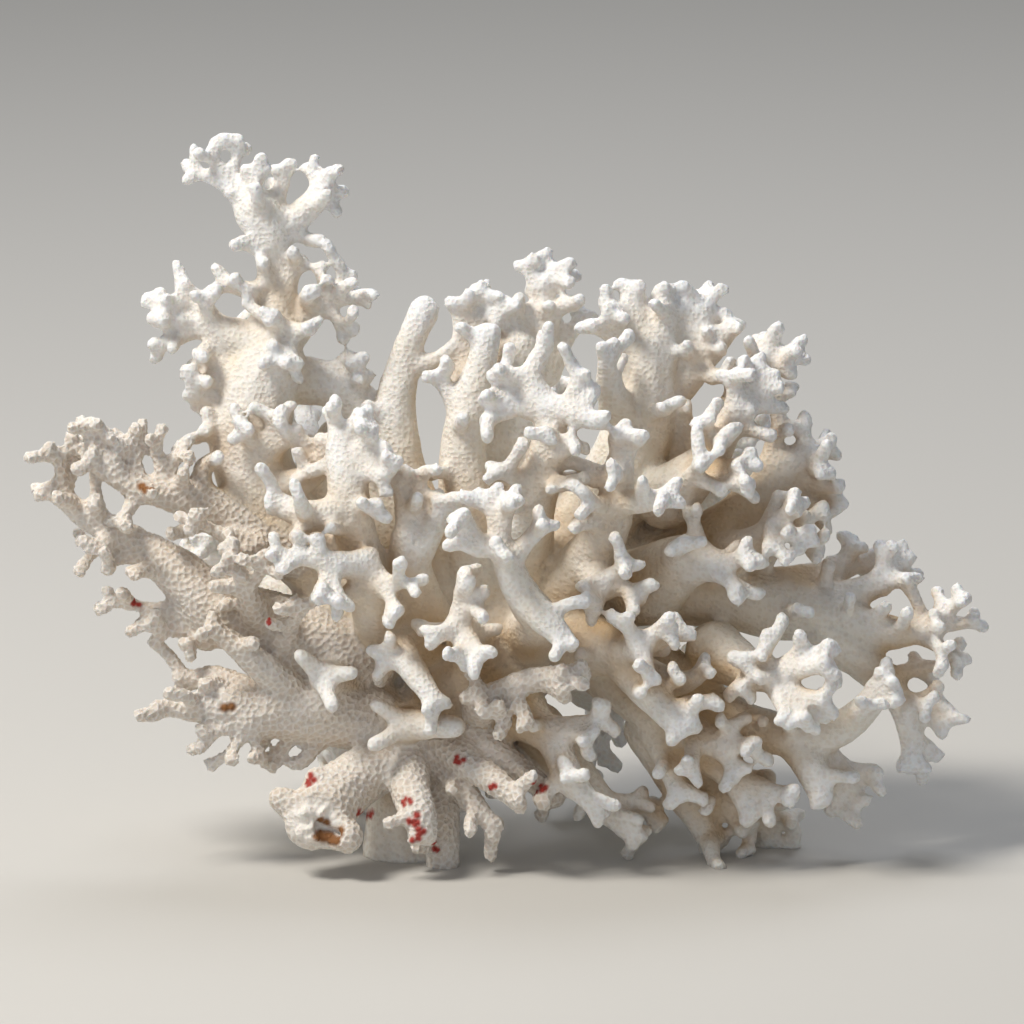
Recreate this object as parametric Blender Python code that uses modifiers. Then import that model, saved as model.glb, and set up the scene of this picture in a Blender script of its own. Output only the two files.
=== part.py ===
"""A bleached branching coral, cut off flat where it grew and resting on the cut.

The limbs are laid out in millimetres as a viewer in front sees them: across to the right, up, and
away from the viewer, with the limb's radius as the fourth number. The layout is then tipped by
VIEW_TILT, because the piece is looked at from a little above, and the ground is cut flat.
"""
import math
import random

import bmesh
import bpy
from mathutils import Matrix, Vector
from mathutils.bvhtree import BVHTree

MM = 0.001
VIEW_TILT = math.radians(12)      # the layout's viewer looks down at the coral by this much
CENTRE_ACROSS = 0.25              # mm, where the middle of the finished piece lies in the layout
CENTRE_AWAY = 25.9
TIP_RADIUS = 2.15                 # mm, the finger tips are a little over 4 mm thick
WEB = 1.3                         # mm, how far the flesh fills the angles between limbs
VOXEL = 1.05                      # mm, the grid that fuses the limbs of one node
SEAT_GAPS = (0.3, 0.4, 0.55, 0.8) # mm, between a limb and the one that carries it, the first best
SHARPEST_STEP = 2.0               # gaps, how far a sharp corner of a seat may move out
SHORTEST_EDGE = 0.01              # mm, shorter edges left by the cuts are closed up
TRIANGLES_PER_TIP = 9
TRIANGLES_PER_JOINT = 3
ATTEMPTS = 24                     # at a skin that doesn't cross itself
MORE_TRIANGLES = 1.045            # the factor between two attempts
GROUND_DEPTH = 30.0               # mm, the thickness of the block that cuts the ground flat


def run(*points):
    """One limb through the given points."""
    return [tuple(map(float, point)) for point in points]


def fork(joint, *tips):
    """A finger from the joint to each tip, a little waisted, with a rounded end."""
    across, up, away, radius = joint
    fingers = []
    for tip in tips:
        waist = tuple(0.45 * a + 0.55 * b for a, b in zip(joint[:3], tip))
        neck = min(radius, TIP_RADIUS)
        fingers.append(run((across, up, away, radius), (*waist, neck), (*tip, TIP_RADIUS)))
    return fingers


def spray(seed, root, heading, reach, levels=3):
    """A limb grown by rule on the side that faces away: each end divides in two or three."""
    rng = random.Random(seed)
    limbs = []

    def divide(start, direction, length, radius, level):
        side = direction.orthogonal().normalized()
        bend = side * rng.uniform(-0.15, 0.15) * length
        end = start + direction * length
        middle = (start + end) / 2 + bend
        thin = max(radius * 0.72, TIP_RADIUS)
        limbs.append(run((*start, radius), (*middle, (radius + thin) / 2), (*end, thin)))
        if level == 0:
            return
        count = rng.choice((2, 3, 3)) if level == 1 else 2
        turn = rng.uniform(0, 2 * math.pi)
        for k in range(count):
            around = Matrix.Rotation(turn + 2 * math.pi * k / count, 3, direction)
            lean = math.radians(rng.uniform(32, 50))
            child = Matrix.Rotation(lean, 3, around @ side) @ direction
            divide(end, child, length * rng.uniform(0.58, 0.72), thin, level - 1)

    divide(Vector(root[:3]), Vector(heading).normalized(), reach, root[3], levels)
    return limbs


LIMBS = {
    "trunk": [
        run((-22, -6, 8, 9.5), (-21, 6, 7, 9.5), (-18, 18, 5, 10.5), (-11, 32, 4, 13),
            (0, 44, 4, 14), (10, 52, 5, 12.5)),
        run((-18, 20, 4, 9), (-31, 32, 2, 9), (-38, 42, 1, 8)),
        run((-22, 27, -3, 6), (-20, 28, -12, 4.2), (-16, 28, -17, 3.4), (-11, 27.6, -19, 3)),
        *fork((-20, 28, -12, 3.6), (-27.5, 24, -17), (-27, 32, -15)),
        run((-34, 38, -4, 6), (-38, 37.5, -13, 4)),
        *fork((-38, 38, -13, 3.4), (-42.5, 42, -18), (-32, 38.5, -19), (-36, 32, -19)),
    ],
    "broken_foot": [
        run((-22, 22, -4, 6), (-31, 17, -9, 6.6), (-37, 12, -13, 7.2), (-40, 8.5, -16, 6.6)),
        run((-40, 10, -14, 5.5), (-46.5, 13, -15, 3.6)),
        run((-37, 8, -14, 5.5), (-33, 5.5, -18, 4.6)),
        run((-37, 14, -12, 5), (-39, 17, -14, 3.6)),
    ],
    "foot_fingers": [
        run((-21, 23, -3, 6.5), (-20.5, 16, -12, 4.8), (-18.5, 10, -17, 4.4), (-17.5, 6.4, -18, 3.8)),
        run((-15, 18, 0, 5.5), (-14, 7, -3, 4.6), (-13.4, -4, -3, 4.4)),
        run((-14, 25, -5, 6), (-8, 20, -12, 3.8), (-2, 16, -17, 3.3), (1.5, 12.8, -19, 2.7)),
        run((-9, 27, -3, 6), (-2, 21.5, -8, 4.2), (6, 16, -11, 3.2)),
        run((-13, 20, -5, 4.4), (-8, 13, -10, 3), (-3.6, 7.8, -13, 2.4)),
        run((-3, 28, 3, 6.5), (4, 19, 1, 4.6), (9, 13.4, 0, 3.6)),
    ],
    "left_limb": [
        run((-30, 42, 0, 9), (-46, 46, -2, 9), (-60, 52, -4, 7.4), (-68, 59, -5, 5.6),
            (-77, 65, -5, 4.4), (-86, 70, -6, 3.8), (-93, 75, -7, 3)),
        *fork((-91, 74, -6, 3), (-94.6, 76, -7), (-91.8, 82, -9), (-88.4, 81, -5)),
        *fork((-84, 71, -6, 3), (-84.6, 79.5, -8)),
        *fork((-77, 63, -4, 3.6), (-86.6, 64.6, -2), (-82, 60.5, -8)),
        *fork((-66, 50, -3, 4), (-81.6, 53.2, -4)),
        *fork((-62, 47, -3, 5), (-71.5, 46.6, -5), (-65, 44, -7)),
        run((-50, 48, -6, 5.5), (-52.4, 53, -15, 3.8), (-54, 58, -19, 3)),
        *fork((-53, 56, -18, 3), (-56, 62, -21), (-49, 60, -22)),
        *fork((-46, 46, -9, 4.5), (-41.8, 51.6, -20)),
    ],
    "lower_left_fingers": [
        run((-28, 29, -1, 8), (-40, 31, -4, 7.5), (-50, 31, -7, 6.4)),
        run((-50, 32, -6, 5), (-60, 37, -4, 4), (-66.5, 37, -3, 3)),
        run((-50, 31, -8, 5), (-61, 31.5, -9, 4.6), (-70, 31.5, -9, 3.4)),
        *fork((-53, 29, -9, 4.6), (-62, 25.5, -12), (-57, 21.6, -11), (-51, 22, -9)),
        run((-45, 35, -8, 4.5), (-52, 41, -13, 4), (-60.5, 48, -16, 3.2)),
    ],
    "left_upper_limb": [
        run((-42, 62, -1, 7), (-54, 68, -4, 6), (-66, 74, -7, 4.8), (-76, 76, -9, 3.8),
            (-85, 81, -10, 3)),
        *fork((-84, 81, -10, 2.8), (-88, 83.5, -8), (-86, 88.4, -11), (-81.8, 86, -9)),
        *fork((-76, 77, -9, 3), (-76.4, 87, -9)),
        *fork((-70, 76, -8, 3), (-72, 85.4, -10), (-67.4, 84.6, -8)),
        run((-62, 73, -5, 3.6), (-62.5, 80, -6, 3), (-56, 83, -4, 3)),
        *fork((-76, 74, -9, 3), (-79, 69, -11)),
        *fork((-52, 64, -8, 4.5), (-63.8, 69, -16), (-56, 62, -16)),
    ],
    "spire_trunk": [
        run((-22, 46, 5, 10), (-36, 58, 3, 9), (-47, 70, 1, 8.8), (-53, 82, 0, 9),
            (-52, 94, 0, 9), (-49, 102, 0, 8)),
        *fork((-56, 98, 0, 5.4), (-64.4, 100, 0), (-62.5, 104, -3)),
        *fork((-56, 93, 0, 5.4), (-64.6, 95, -3), (-62, 91.4, 2)),
        *fork((-56, 87, -2, 5), (-61.4, 88.2, -5)),
        *fork((-50, 84, -6, 5), (-46, 91, -12), (-54, 87, -12), (-43, 86, -11)),
        run((-47, 76, -5, 4.4), (-40, 78.5, -9, 3), (-37, 84, -12, 2.8)),
    ],
    "spire_middle": [
        run((-49, 101, 0, 7.6), (-48, 111, 1, 5.5), (-46, 118, 1, 3.6), (-43.8, 122, 1, 2.8)),
        run((-50, 104, 0, 6), (-60, 108, 0, 4), (-65, 109, 0, 3.4)),
        *fork((-64, 108.6, 0, 2.8), (-72.4, 114, 1), (-72.4, 110, -1), (-71.6, 104.8, 0)),
        run((-60, 108, 0, 3.4), (-64, 114, 0, 2.6), (-67, 116.4, 0, 2.2)),
        run((-46, 115.4, 1, 2.8), (-53, 116, -1, 2.3), (-58.6, 117.6, -2, 2.1)),
        *fork((-46, 107, -3, 4), (-48, 111, -9), (-40.6, 108, -8), (-44, 101, -9)),
    ],
    "spire_fan": [
        run((-45, 108, 2, 5), (-38.8, 113, 1, 3.6), (-36, 115, 1, 3)),
        *fork((-38, 113.6, 1, 2.8), (-33.6, 119.4, 1), (-31.6, 114.6, 3), (-34.4, 109, 0)),
        *fork((-39, 113, 1, 3), (-38, 118.4, -2)),
    ],
    "spire_head": [
        run((-46.4, 115, 1, 3), (-47.8, 120.4, 0, 2.7), (-48.6, 127, 0, 5), (-51.5, 132, 0, 5.6),
            (-55.5, 136, 0, 4)),
        *fork((-58, 138, 0, 3), (-65, 140, 1), (-61.2, 144.2, -1), (-55, 144.6, 1)),
        *fork((-52, 134, 0, 3), (-52.6, 140, -2)),
        run((-49, 132, 0, 3.6), (-46.6, 137, 1, 2.4), (-46.4, 140, 1, 2.3)),
        run((-46, 129, 0, 4), (-41, 133, 0, 3.8), (-38, 137, 0, 4)),
        *fork((-38.5, 137, 0, 3), (-41, 140.2, 1), (-37, 140, -2), (-36.4, 135, 2)),
        *fork((-44, 128, 0, 3), (-41, 126, 1)),
    ],
    "saddle_wall": [
        run((-46, 98, 4, 6), (-37, 97, 5, 5.4), (-30, 91, 6, 6), (-26, 78, 7, 6.5), (-23, 64, 7, 8)),
        run((-36, 86, 8, 4.6), (-38, 74, 7, 5.5), (-34, 62, 7, 7)),
        *fork((-37, 98, 5, 3.6), (-33.6, 102.4, 4), (-31, 98, 2)),
    ],
    "club_column": [
        run((-13, 54, 4, 9), (-18, 66, 4, 7.5), (-22.5, 80, 3, 6.2), (-23.4, 92, 2, 5),
            (-21.5, 102, 1, 3.8), (-19.5, 107.6, 0, 3.5), (-17.4, 112, 0, 4.2)),
        run((-21.5, 100.6, 1, 3), (-16, 101.5, 0, 2.2), (-11.4, 104.6, -1, 2)),
        *fork((-24, 88, 2, 3.6), (-29, 92.4, -2)),
    ],
    "knob_column": [
        run((-5, 56, 2, 9), (-8.4, 70, -1, 7), (-9.4, 84, -3, 5.6), (-7.5, 94, -5, 4.8),
            (-5.4, 102, -6, 3.6), (-4.8, 106.4, -6, 4)),
        *fork((-10, 91, -4, 3.2), (-14.4, 98.6, -5)),
        run((-8.4, 86, 0, 5), (-9, 99, 1, 4.2), (-9, 107, 1, 3.4)),
        *fork((-9, 107, 1, 2.6), (-7, 116, 1), (-10.8, 113, 0), (-4.6, 111, 1)),
    ],
    "crown_middle": [
        run((8, 54, 6, 12), (17, 68, 5, 10), (24.5, 82, 3, 8.5), (28, 95, 2, 7.6), (28, 104, 1, 6.6)),
        run((27, 103, 1, 6), (25.4, 110, 0, 4), (25.2, 116, 0, 3.4)),
        run((30, 103, 1, 5.4), (31.4, 110, 0, 3.6), (31.6, 115.6, 0, 3.2)),
        *fork((24, 106, 0, 4.5), (19.4, 113.6, -2), (16.6, 109, -5)),
        run((22, 92, -4, 4.6), (20, 98, -12, 3), (19.8, 103, -17, 2.3)),
    ],
    "crown_left": [
        run((3, 58, 6, 10), (2, 76, 6, 8.4), (1, 92, 4, 7), (1.6, 104, 3, 6)),
        *fork((2, 106, 3, 4), (0.4, 112.6, 1), (-2.4, 110, 0), (4, 112.4, 5)),
        run((4, 100, 5, 4.6), (7.2, 109, 6, 3.2), (6.4, 116, 6, 2.8)),
        *fork((6, 116, 6, 2.6), (4, 121.4, 6), (8.4, 121, 7), (11.6, 118.8, 5)),
        *fork((7, 110, 6, 2.8), (11.4, 113.6, 5)),
        *fork((7, 100, 6, 4.6), (15.2, 111, 9)),
    ],
    "crown_right": [
        run((28.4, 90, 6, 6.4), (34, 101, 5, 5), (38, 109, 4, 4.4), (39.6, 112, 4, 4)),
        *fork((39, 111, 4, 3.4), (42.6, 110.6, 6), (41, 115, 5), (36.8, 114.4, 7), (34.8, 112.6, 1)),
        run((32, 94, 5, 5), (38, 100.6, 3, 4), (45.2, 108.4, 2, 2.8)),
        *fork((39.5, 102, 3, 3), (41, 107.4, 0), (35.6, 104, -3)),
    ],
    "right_shoulder": [
        run((30, 60, 8, 9), (42, 64, 6, 8.4), (50, 71, 4, 7), (57, 80, 2, 4.8), (61, 82.6, 1, 3.8)),
        *fork((61, 82.6, 1, 3.2), (65.2, 84.6, 3), (63, 79, -3), (60, 88, 2)),
        *fork((57, 76, 3, 3.8), (66.4, 75, 5), (64, 70, 2)),
        *fork((52, 70, 2, 4), (58.6, 68, -6), (62, 64, -2)),
        *fork((53, 80, 2, 3.4), (55.4, 90.6, 1)),
    ],
    "right_crown_fan": [
        run((32, 78, 8, 7.4), (41, 86, 4, 5.5), (47.5, 94, 1, 4), (51.5, 101, 0, 3.8)),
        *fork((52, 102, 0, 3.2), (54.2, 107.4, 0), (50.4, 106, 2), (58.6, 103.6, 0), (57.4, 99.2, -2)),
        *fork((46, 93, 1, 3), (45.2, 99, 4)),
    ],
    "right_crown_front": [
        run((32, 74, -2, 7.4), (41, 82, -7, 4.8), (46.2, 92, -11, 3.6)),
        *fork((46.4, 93, -11, 3), (45, 98, -13), (49.4, 98.6, -9)),
        *fork((47, 90, -10, 2.9), (53.6, 97, -9)),
        *fork((42, 84, -9, 3.2), (39.4, 89, -16), (43, 85, -18)),
        *fork((35, 75, -8, 4), (38.6, 80.6, -20)),
        *fork((40, 78, -9, 3.6), (48.6, 81.4, -17), (48.6, 76.6, -21)),
    ],
    "right_limb": [
        run((9, 54, 7, 12), (25, 57, 6, 10), (41, 56, 6, 9), (55, 52, 5, 7.6), (67, 49, 4, 5.8),
            (79, 46.5, 3, 4.4), (87, 48, 2, 3.4)),
        *fork((87, 48, 2, 3), (88.6, 53, 2), (92.6, 53.4, 0), (95, 48.6, 3)),
        *fork((85, 46, 2, 3.2), (91.8, 40.8, 1), (88.6, 43, -4)),
    ],
    "right_upper_fan": [
        run((58, 51, 5, 6), (67, 53, 6, 4.6), (75.4, 56.6, 5, 3.6)),
        *fork((76, 57, 5, 3), (77, 63, 5), (80.6, 61.6, 7), (81.8, 57.4, 2)),
        run((56, 55, 8, 6), (65, 58, 10, 4), (67, 59.4, 10, 3.4)),
        *fork((67, 59, 10, 3.2), (70.6, 64, 10), (73, 60.4, 13)),
    ],
    "right_lower_fan": [
        run((64, 46, 3, 5), (74.6, 39, 4, 4.4), (81, 31.4, 5, 3.8)),
        *fork((81, 31.6, 5, 3.2), (87, 34, 6), (87.8, 28.4, 7)),
        run((81, 31, 5, 3.4), (82.6, 25, 6, 3.2), (82.4, 20, 6, 2.8)),
        *fork((77, 37, 4, 3.2), (84, 39.6, 7)),
    ],
    "right_front_web": [
        run((28, 56, -2, 9), (36, 61, -9, 6.4), (42, 60, -13, 4.6)),
        *fork((42, 60, -13, 3.4), (48, 62, -18), (46, 55.4, -19)),
        *fork((34, 62, -12, 4), (33.6, 63.6, -18)),
        run((44, 62, -2, 6), (51, 65, -8, 4), (54, 68, -10, 3.2)),
        *fork((54, 68, -10, 3), (57.6, 72, -13), (59.4, 65.4, -14), (52.6, 63.6, -15)),
    ],
    "bright_cluster": [
        run((42, 43, -3, 7), (49, 39, -11, 5), (54, 37.4, -17, 4.2)),
        *fork((55.4, 38.6, -18, 3.4), (64.8, 44, -25), (64, 40, -27), (59.6, 44, -22)),
        *fork((55, 35, -18, 3.4), (60, 28.8, -25), (56, 30, -24), (63.4, 33, -24)),
        *fork((50, 38.4, -13, 3.6), (47.6, 40.6, -20), (52, 43.4, -20), (46, 35.4, -18)),
    ],
    "low_right_limb": [
        run((30, 38, 3, 8), (44, 29, -1, 6.2), (56, 26, -4, 5), (66, 26.4, -5, 4.4),
            (73.4, 32, -5, 3.6), (76, 37, -6, 2.8)),
        *fork((74.6, 35, -5, 2.8), (77.4, 38.6, -4), (78.6, 35.2, -8)),
        run((58, 24.6, -4, 4.6), (62.2, 18, -6, 4), (63.6, 13.4, -7, 3.4)),
        run((62, 24, -2, 4), (67, 19.4, 0, 3.6)),
        *fork((67, 19, 0, 3.2), (73, 18.4, 2), (71, 13.4, 3), (67, 11.4, 3)),
    ],
    "low_right_fork": [
        run((15, 44, -6, 8), (23, 43, -15, 5), (26.4, 43.6, -22, 3.6)),
        *fork((26.4, 44, -22, 3.2), (23, 49, -25), (31.6, 48.4, -26), (28.4, 37.8, -25)),
        run((24, 40, -13, 5), (29, 34, -19, 4.4), (34.6, 27.4, -22, 3.2)),
        *fork((32.6, 29.6, -21, 3), (37, 29, -22)),
        run((28, 38, -10, 4.4), (35, 36.4, -15, 3), (39.6, 39.2, -18, 2.3)),
    ],
    "low_right_fingers": [
        run((20, 40, 1, 8), (29, 32, -4, 6.4), (37, 26, -8, 5), (42, 24.4, -12, 4)),
        *fork((38, 25, -12, 3.2), (36.6, 19.6, -16)),
        *fork((42, 24.2, -12, 3.2), (48.4, 23.8, -16), (45.8, 28.2, -15), (46, 19, -13)),
        run((29, 29, -3, 5), (32, 21, -7, 3.2), (34.6, 13.8, -8, 2.7)),
        run((38, 24, -4, 5.4), (45.6, 18, -6, 4.2), (49.2, 10.4, -7, 3.4)),
        *fork((47, 16.6, -6, 3.4), (56.6, 13.8, -10)),
        run((29, 27, 2, 6.4), (36, 14, 4, 4.8), (41.6, 4.4, 6, 4)),
        run((38, 22, 3, 5.4), (44.6, 13, 4, 4.2), (47.8, 8, 4, 3.4)),
        run((40, 21, 5, 5.4), (49, 12, 10, 4.2), (53.4, 4.6, 13, 3.4)),
        *fork((50.4, 11, 10, 3.2), (58, 8.4, 12)),
    ],
    "low_front_fingers": [
        run((-1, 36, -3, 8), (4, 29, -9, 5.6), (9, 25.4, -13, 4.4)),
        run((9, 25, -13, 4), (12, 18, -15, 3.4), (18, 10.8, -14, 2.8)),
        *fork((9, 27, -13, 3.6), (19, 29.2, -17), (16, 25.6, -18)),
        run((6, 27, -2, 6.4), (15, 16.6, -2, 4.2), (21.4, 9.4, -3, 3.4), (26, 5.4, -4, 2.8)),
        *fork((19, 12, -2, 3.2), (26.6, 12.4, 0), (30, 10.6, 4)),
        *fork((13, 15.4, -13, 3), (11.6, 19.6, -19)),
    ],
    "textured_finger": [
        run((-6, 31, -6, 5.4), (-4, 33, -15, 3.8), (4, 37, -21, 3), (14, 38.8, -25, 2.3)),
        *fork((6, 37.5, -21, 2.6), (10.6, 34.6, -25)),
        *fork((-3, 33, -15, 3.2), (-6.6, 35.4, -20), (-0.8, 28.6, -21)),
    ],
    "front_finger": [
        run((-16, 44, -5, 5.6), (-21.6, 43, -14, 4), (-19.4, 39, -20, 3.4), (-15, 32.4, -23, 2.7)),
        *fork((-21, 43, -14, 3.4), (-25.6, 41, -17)),
    ],
    "front_lower_fork": [
        run((-25, 46, -4, 7), (-28.4, 56, -17, 5.4), (-29.6, 61, -21, 4.4)),
        run((-29, 60, -20, 4.2), (-36, 60.6, -24, 3.6), (-42, 62, -25, 3)),
        *fork((-42, 62, -25, 2.6), (-47, 62.4, -26)),
        *fork((-36, 59.4, -24, 3), (-34.4, 53.6, -27), (-38.6, 55, -27)),
        *fork((-27, 57, -20, 4), (-19.6, 56.4, -25), (-22, 51, -26)),
    ],
    "front_upper_fork": [
        run((-25, 52, -2, 7), (-30, 62, -11, 5.4), (-32, 70, -17, 5), (-33, 77, -18, 4.8),
            (-34, 82.6, -17, 4.6)),
        *fork((-34.4, 84, -17, 3.4), (-36, 91, -16), (-30.6, 90, -19)),
        *fork((-32, 80, -18, 3.4), (-24.8, 82.4, -20), (-26, 77.6, -22), (-28.4, 86, -20)),
        run((-33, 71.6, -18, 4), (-40, 70, -20, 3.8), (-47, 72.6, -19, 3.2)),
        *fork((-40, 70, -20, 3.2), (-43.4, 65.6, -23)),
        *fork((-33, 73, -18, 3), (-27.4, 71.6, -24)),
    ],
    "finger_column": [
        run((-17, 48, -4, 7), (-20, 58, -10, 5.4), (-20.8, 66, -13, 4.6)),
        *fork((-20.6, 67, -13, 3.2), (-22.6, 77.4, -15), (-17.8, 78.4, -14)),
        run((-19.6, 61, -12, 4), (-15.6, 67.6, -14, 3), (-13.6, 72.6, -15, 2.6)),
    ],
    "centre_fork": [
        run((4, 46, -6, 7.4), (6.4, 49, -20, 5), (2.6, 54, -28, 4.2), (-0.6, 61, -31, 3.4),
            (-2, 65, -32, 3)),
        *fork((-2, 66, -32, 2.6), (-4, 74, -32), (0, 73, -34)),
        run((-2, 64.6, -32, 2.8), (-6.4, 63.6, -34, 2.5), (-10.4, 65.4, -35, 2.2)),
        *fork((-6, 64, -34, 2.4), (-9.6, 70.2, -36)),
        *fork((0.2, 61, -31, 3), (6.6, 68.4, -32)),
        run((2.4, 54, -28, 4), (8, 48.4, -31, 3.6), (11.4, 45, -32, 3)),
    ],
    "centre_cluster": [
        run((-7, 44, -6, 6), (-9.5, 47, -18, 4), (-10.4, 48.4, -23, 3.4)),
        *fork((-10, 50, -23, 2.8), (-9, 58.6, -26), (-5, 55, -27)),
        *fork((-10.4, 48, -23, 2.8), (-15, 46, -27)),
        *fork((-9.5, 46.6, -23, 2.8), (-5.6, 42, -28), (-9.6, 42, -27)),
    ],
    "front_crown_fork": [
        run((2, 60, -2, 8), (4, 70, -12, 6), (6.4, 79, -18, 4.8), (8.4, 87, -21, 4), (8, 92, -22, 3.6)),
        run((8, 92, -22, 3.4), (13.6, 90.4, -25, 3), (17.8, 89, -27, 2.6)),
        run((8, 92, -22, 3.2), (4.4, 98, -21, 3), (7.6, 104.6, -20, 2.4)),
        *fork((12, 91.6, -23, 2.8), (14.2, 98, -23)),
        run((8, 91, -22, 3.4), (1.4, 92.6, -20, 3.2)),
        *fork((1.6, 92.6, -20, 3), (-2.2, 98, -19), (-4.2, 94, -22), (-4.6, 89.4, -20)),
        *fork((7, 81, -20, 3), (13, 84.4, -25)),
        *fork((5, 76, -17, 3.4), (13, 76.8, -24), (-2, 79.4, -22)),
    ],
    "front_right_column": [
        run((13, 56, -4, 8), (18, 64, -13, 6), (21.4, 72.6, -18, 4.8), (22.4, 80, -21, 3.8)),
        *fork((22.4, 80, -21, 3), (21.4, 86, -23), (25.4, 85.6, -23)),
        run((21, 73, -19, 3.4), (27, 73, -24, 2.9), (32, 73.8, -27, 2.5)),
        *fork((20, 72, -20, 3), (16, 72.6, -26)),
        run((16, 60, -12, 5), (19.4, 55.6, -18, 3.6)),
        *fork((19, 57, -17, 3.4), (26.6, 54.4, -20), (23.8, 60, -22), (17.4, 51.6, -22)),
    ],
    "back_low_limb": [
        run((-19, 14, 10, 8), (-20, 13, 26, 6), (-21, 11, 38, 4.4)),
        run((-21, 12, 34, 4), (-27, 9, 42, 3.4), (-30, 9, 48, 3)),
        run((-20, 12, 34, 4), (-15, 9, 42, 3.4), (-10, 10, 48, 3)),
        *fork((-21, 12, 38, 3.6), (-21, 21, 47), (-12, 20, 42), (-30, 20, 44)),
        *spray(11, (-22, 16, 16, 6), (-0.9, 0.55, 0.75), 15, 2),
    ],
    "back_left": spray(3, (-30, 44, 8, 8.5), (-0.55, 0.34, 0.8), 21),
    "back_upper_left": spray(8, (-34, 64, 8, 7.5), (-0.1, 0.75, 0.75), 17, 2),
    "back_centre": spray(5, (-6, 44, 12, 9.5), (-0.1, 0.3, 1), 24),
    "back_crown": spray(6, (4, 66, 12, 9), (-0.1, 0.75, 0.85), 20),
    "back_right": spray(17, (26, 58, 12, 8.5), (0.35, 0.2, 0.9), 22),
    "back_upper_right": spray(12, (30, 74, 10, 7.5), (0.4, 0.6, 0.8), 17, 2),
    "back_low_right": [
        *spray(21, (14, 42, 12, 8.5), (0.45, -0.35, 0.85), 20),
    ],
}

WEATHERED = {"left_limb", "lower_left_fingers", "left_upper_limb", "broken_foot", "foot_fingers",
             "textured_finger", "trunk"}


def clear_scene():
    for obj in list(bpy.data.objects):
        bpy.data.objects.remove(obj, do_unlink=True)


def to_world(point):
    """Layout millimetres to metres, tipped back and moved to the middle of the footprint."""
    across, up, away = point[:3]
    y = up * math.sin(VIEW_TILT) + (away - CENTRE_AWAY) * math.cos(VIEW_TILT)
    z = up * math.cos(VIEW_TILT) - away * math.sin(VIEW_TILT)
    return Vector(((across - CENTRE_ACROSS) * MM, y * MM, z * MM))


def coral_material(name, colour, roughness):
    material = bpy.data.materials.new(name)
    material.use_nodes = True
    shader = material.node_tree.nodes["Principled BSDF"]
    shader.inputs["Base Color"].default_value = (*colour, 1)
    shader.inputs["Roughness"].default_value = roughness
    shader.inputs["Metallic"].default_value = 0.0
    return material


def new_collection(name):
    collection = bpy.data.collections.new(name)
    bpy.context.scene.collection.children.link(collection)
    return collection


def limb_tubes(name, runs, collection):
    """Tubes through the runs, each point's radius widened by the web, as one mesh."""
    curve = bpy.data.curves.new(name, "CURVE")
    curve.dimensions = "3D"
    curve.bevel_depth = MM
    curve.bevel_resolution = 2
    curve.use_fill_caps = True
    for points in runs:
        spline = curve.splines.new("POLY")
        spline.points.add(len(points) - 1)
        for knot, point in zip(spline.points, points):
            knot.co = (*to_world(point), 1)
            knot.radius = point[3] + WEB
    tube = bpy.data.objects.new(name, curve)
    collection.objects.link(tube)
    bpy.context.view_layer.update()
    mesh = bpy.data.meshes.new_from_object(tube.evaluated_get(bpy.context.evaluated_depsgraph_get()))
    bpy.data.objects.remove(tube, do_unlink=True)
    bpy.data.curves.remove(curve)
    return mesh


def add_joint_balls(mesh, runs):
    """A ball at each point rounds the ends and fills the bends of the tubes."""
    bm = bmesh.new()
    bm.from_mesh(mesh)
    bmesh.ops.remove_doubles(bm, verts=bm.verts, dist=0.01 * MM)
    for points in runs:
        for point in points:
            place = Matrix.Translation(to_world(point))
            bmesh.ops.create_icosphere(bm, subdivisions=2, radius=(point[3] + WEB) * MM, matrix=place)
    bm.to_mesh(mesh)
    bm.free()


def applied(obj):
    """Replace the object's mesh by its evaluated one and drop its modifiers."""
    bpy.context.view_layer.update()
    graph = bpy.context.evaluated_depsgraph_get()
    mesh = bpy.data.meshes.new_from_object(obj.evaluated_get(graph))
    old = obj.data
    obj.modifiers.clear()
    obj.data = mesh
    bpy.data.meshes.remove(old)


def fuse(obj):
    """One closed skin over the tubes, drawn back by the web so that the forks are filleted.

    Where two limbs only just met, drawing back turns the thin bridge inside out, and the second
    remesh makes it whole.
    """
    for step in ("fuse", "make whole"):
        remesh = obj.modifiers.new(step, "REMESH")
        remesh.mode = "VOXEL"
        remesh.voxel_size = VOXEL * MM
        if step == "fuse":
            shrink = obj.modifiers.new("draw back", "DISPLACE")
            shrink.strength = -WEB * MM
            shrink.mid_level = 0.0
    relax = obj.modifiers.new("relax", "SMOOTH")
    relax.factor = 0.5
    relax.iterations = 2
    applied(obj)


def crosses_itself(mesh):
    """True where two faces that share no corner run through each other."""
    bm = bmesh.new()
    bm.from_mesh(mesh)
    bm.faces.ensure_lookup_table()
    tree = BVHTree.FromBMesh(bm)
    crossing = False
    for first, second in tree.overlap(tree):
        if first < second and not set(bm.faces[first].verts) & set(bm.faces[second].verts):
            crossing = True
            break
    bm.free()
    return crossing


def simplify(obj, dense, triangles):
    """Give the object the dense skin, thinned out to the triangles wanted."""
    obj.data = dense.copy()
    faces = sum(len(face.vertices) - 2 for face in dense.polygons)
    thin = obj.modifiers.new("simplify", "DECIMATE")
    thin.ratio = min(1.0, triangles / faces)
    thin.use_collapse_triangulate = True
    applied(obj)


def boxes_meet(first, second):
    margin = SEAT_GAPS[-1] * MM
    for axis in range(3):
        if first[1][axis] + margin < second[0][axis] or second[1][axis] + margin < first[0][axis]:
            return False
    return True


def bounds(mesh):
    low = Vector([min(v.co[axis] for v in mesh.vertices) for axis in range(3)])
    high = Vector([max(v.co[axis] for v in mesh.vertices) for axis in range(3)])
    return low, high


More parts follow.
